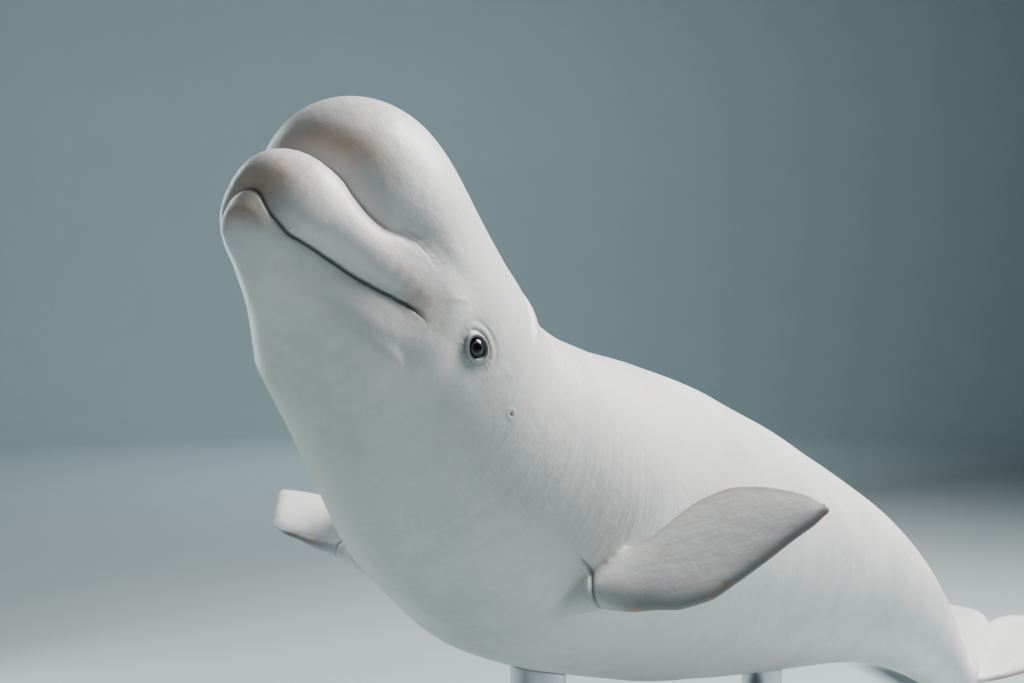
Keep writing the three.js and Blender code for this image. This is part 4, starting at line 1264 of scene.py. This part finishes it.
for end in ("front", "rear"):
    place = ROD_PLACES[end] = sum(cad_box(f"stand_rod_{end}"))[:2] / 2
    round_bar(f"rod_{end}", place, ROD_BEVEL)
    round_bar(f"collar_{end}", place, COLLAR_BEVEL)

    low, high = cad_box(f"stand_cup_{end}")
    radius = (high - low)[0] / 2
    foot = eased_edges(CUP_BEVEL, ROUND_BEVEL_STEPS, low[2], high[2])[: ROUND_BEVEL_STEPS + 1]
    side = round_rings(place, [(radius - inset, z) for inset, z in foot])
    top = round_rings(place, [(radius, 0)] + [
        (radius * (1 - i / CUP_RINGS) - CUP_LIP * (i == 0), 0) for i in range(CUP_RINGS)])
    for ring in top:
        for point in ring:
            point[2] = belly_height(point[0], point[1], low[2] - SEARCH_DROP)
    top[0, :, 2] -= CUP_LIP
    rings = np.concatenate([side, top])
    centre_top = np.array((*place, belly_height(*place, low[2] - SEARCH_DROP)))
    points, faces = loft(rings, side[0].mean(axis=0), centre_top)
    name = f"cup_{end}"
    on_stand(name, mesh_of(name, points, faces), brushed, "stand_metal", f"stand_cup_{end}")


# Collar screws: a ring of socket-head screws holds each collar down on the base.
SCREW_SIZES = {
    "Count": 4, "Circle": 0.042, "Head radius": 0.0065, "Head height": 0.0034,
    "Socket depth": 0.0024,
}
SCREW_SIDES = 32


def screw_ring_tree(material):
    tree = bpy.data.node_groups.new("collar_screws", "GeometryNodeTree")
    for name in SCREW_SIZES:
        kind = "NodeSocketInt" if name == "Count" else "NodeSocketFloat"
        tree.interface.new_socket(name, in_out="INPUT", socket_type=kind)
    tree.interface.new_socket("Centre", in_out="INPUT", socket_type="NodeSocketVector")
    tree.interface.new_socket("Geometry", in_out="OUTPUT", socket_type="NodeSocketGeometry")
    given = tree.nodes.new("NodeGroupInput").outputs

    def node(kind, links, **settings):
        made = tree.nodes.new(kind)
        for name, value in settings.items():
            setattr(made, name, value)
        for name, value in links.items():
            if isinstance(value, bpy.types.NodeSocket):
                tree.links.new(value, made.inputs[name])
            else:
                made.inputs[name].default_value = value
        return made.outputs

    def raised(geometry, top, height, scale):
        """The top face carried on by a height, then shrunk."""
        step = node("GeometryNodeExtrudeMesh", {
            "Mesh": geometry, "Selection": top, "Offset Scale": height, "Individual": False,
        }, mode="FACES")
        shrunk = node("GeometryNodeScaleElements", {
            "Geometry": step["Mesh"], "Selection": step["Top"], "Scale": scale}, domain="FACE")
        return shrunk["Geometry"], step["Top"]

    def times(value, factor):
        return node("ShaderNodeMath", {0: value, 1: factor}, operation="MULTIPLY")[0]

    head = node("GeometryNodeMeshCylinder", {
        "Vertices": SCREW_SIDES, "Radius": given["Head radius"],
        "Depth": times(given["Head height"], 0.75)})
    chamfered = raised(head["Mesh"], head["Top"], times(given["Head height"], 0.25), 0.88)
    rimmed = raised(*chamfered, 0.0, 0.55)
    hollow, _ = raised(*rimmed, times(given["Socket depth"], -1.0), 0.94)
    ring = node("GeometryNodeMeshCircle", {"Vertices": given["Count"], "Radius": given["Circle"]})
    copies = node("GeometryNodeInstanceOnPoints", {"Points": ring["Mesh"], "Instance": hollow})
    placed = node("GeometryNodeTransform", {
        "Geometry": copies["Instances"], "Translation": given["Centre"]})
    solid = node("GeometryNodeRealizeInstances", {"Geometry": placed["Geometry"]})
    finished = node("GeometryNodeSetMaterial", {
        "Geometry": solid["Geometry"], "Material": material})
    tree.links.new(finished["Geometry"], tree.nodes.new("NodeGroupOutput").inputs["Geometry"])
    return tree


screw_steel = metal_look(
    "screw_steel", (0.20, 0.21, 0.22, 1), (0.30, 0.31, 0.32, 1), (0.22, 0.36), 1.0,
    (500.0, 500.0, 60.0), 0.0001)
screw_tree = screw_ring_tree(screw_steel)
for end, place in ROD_PLACES.items():
    name = f"collar_screws_{end}"
    holder = in_scene(name, bpy.data.meshes.new(name))
    maker = holder.modifiers.new("screws", "NODES")
    maker.node_group = screw_tree
    centre = (*place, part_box(f"stand_collar_{end}")[1][2] + SCREW_SIZES["Head height"] * 0.375)
    for item in screw_tree.interface.items_tree:
        if item.in_out == "INPUT":
            maker[item.identifier] = centre if item.name == "Centre" else SCREW_SIZES[item.name]
    screws = finished_mesh(holder)
    bpy.data.objects.remove(holder)
    on_stand(name, screws, screw_steel, "stand_metal")


# Floor and light of the studio: a wide pale floor that curves up into a wall far behind, lit as a
# hall with skylights is, by one broad light overhead, a weak fill and a strip behind the back.
FLOOR_FLAT, FLOOR_CURVE, WALL_TOP = 13.0, 6.0, 13.0
FLOOR_RINGS, FLOOR_SIDES = 28, 96

floor_material, tree, shader = new_material("studio_floor")
spot = Tone.node(tree, "ShaderNodeTexCoord", {}, "Object")
tone = noise(tree, spot, 1.3, 4)
colour = mixed(tree, tone, (0.400, 0.480, 0.500, 1), (0.430, 0.510, 0.530, 1))
tree.links.new(colour.socket, shader.inputs["Base Color"])
set_finish(shader, Roughness=0.75)

profile = [(r, 0.0) for r in (1.5, 3.0, 5.0, 8.0, FLOOR_FLAT)]
for i in range(1, FLOOR_RINGS + 1):
    lean = i / FLOOR_RINGS * math.pi / 2
    profile.append((FLOOR_FLAT + FLOOR_CURVE * math.sin(lean), FLOOR_CURVE * (1 - math.cos(lean))))
profile.append((FLOOR_FLAT + FLOOR_CURVE, WALL_TOP))
turn = np.arange(FLOOR_SIDES) * 2 * math.pi / FLOOR_SIDES
floor_points = [(0.0, 0.0, 0.0)]
for r, z in profile:
    floor_points += [(r * math.cos(t), r * math.sin(t), z) for t in turn]
floor_faces = [(0, 1 + k, 1 + (k + 1) % FLOOR_SIDES) for k in range(FLOOR_SIDES)]
for i in range(len(profile) - 1):
    for k in range(FLOOR_SIDES):
        a, b = 1 + i * FLOOR_SIDES + k, 1 + i * FLOOR_SIDES + (k + 1) % FLOOR_SIDES
        floor_faces.append((a, a + FLOOR_SIDES, b + FLOOR_SIDES, b))
floor_mesh = mesh_of("floor", floor_points, floor_faces)
floor_mesh.materials.append(floor_material)
floor_mesh.polygons.foreach_set("use_smooth", [True] * len(floor_mesh.polygons))
in_scene("studio_floor", floor_mesh)

world = bpy.data.worlds.new("studio")
scene.world = world
world.use_nodes = True
set_finish(world.node_tree.nodes["Background"], Color=(0.80, 0.90, 0.94, 1), Strength=0.16)


def soft_light(name, place, target, size, power, colour):
    lamp = bpy.data.lights.new(name, "AREA")
    lamp.shape = "RECTANGLE"
    lamp.size, lamp.size_y = size
    lamp.energy = power
    lamp.color = colour
    holder = in_scene(name, lamp)
    holder.location = place
    holder.rotation_euler = (Vector(target) - Vector(place)).to_track_quat("-Z", "Y").to_euler()


soft_light("skylight", (1.7, 1.9, 4.9), (0, -0.3, 1.2), (2.0, 2.6), 720, (1.0, 0.985, 0.955))
soft_light("fill", (3.6, -4.4, 2.2), (0, -0.6, 1.2), (2.4, 2.4), 6, (0.86, 0.95, 1.0))
soft_light("backdrop", (-3.5, 5.5, 6.5), (-13.0, 10.0, 4.5), (3.0, 3.0), 650, (0.80, 0.95, 1.0))
soft_light("edge", (-3.0, -0.6, 2.0), (0, -0.9, 1.2), (0.8, 3.0), 60, (0.82, 0.95, 1.0))
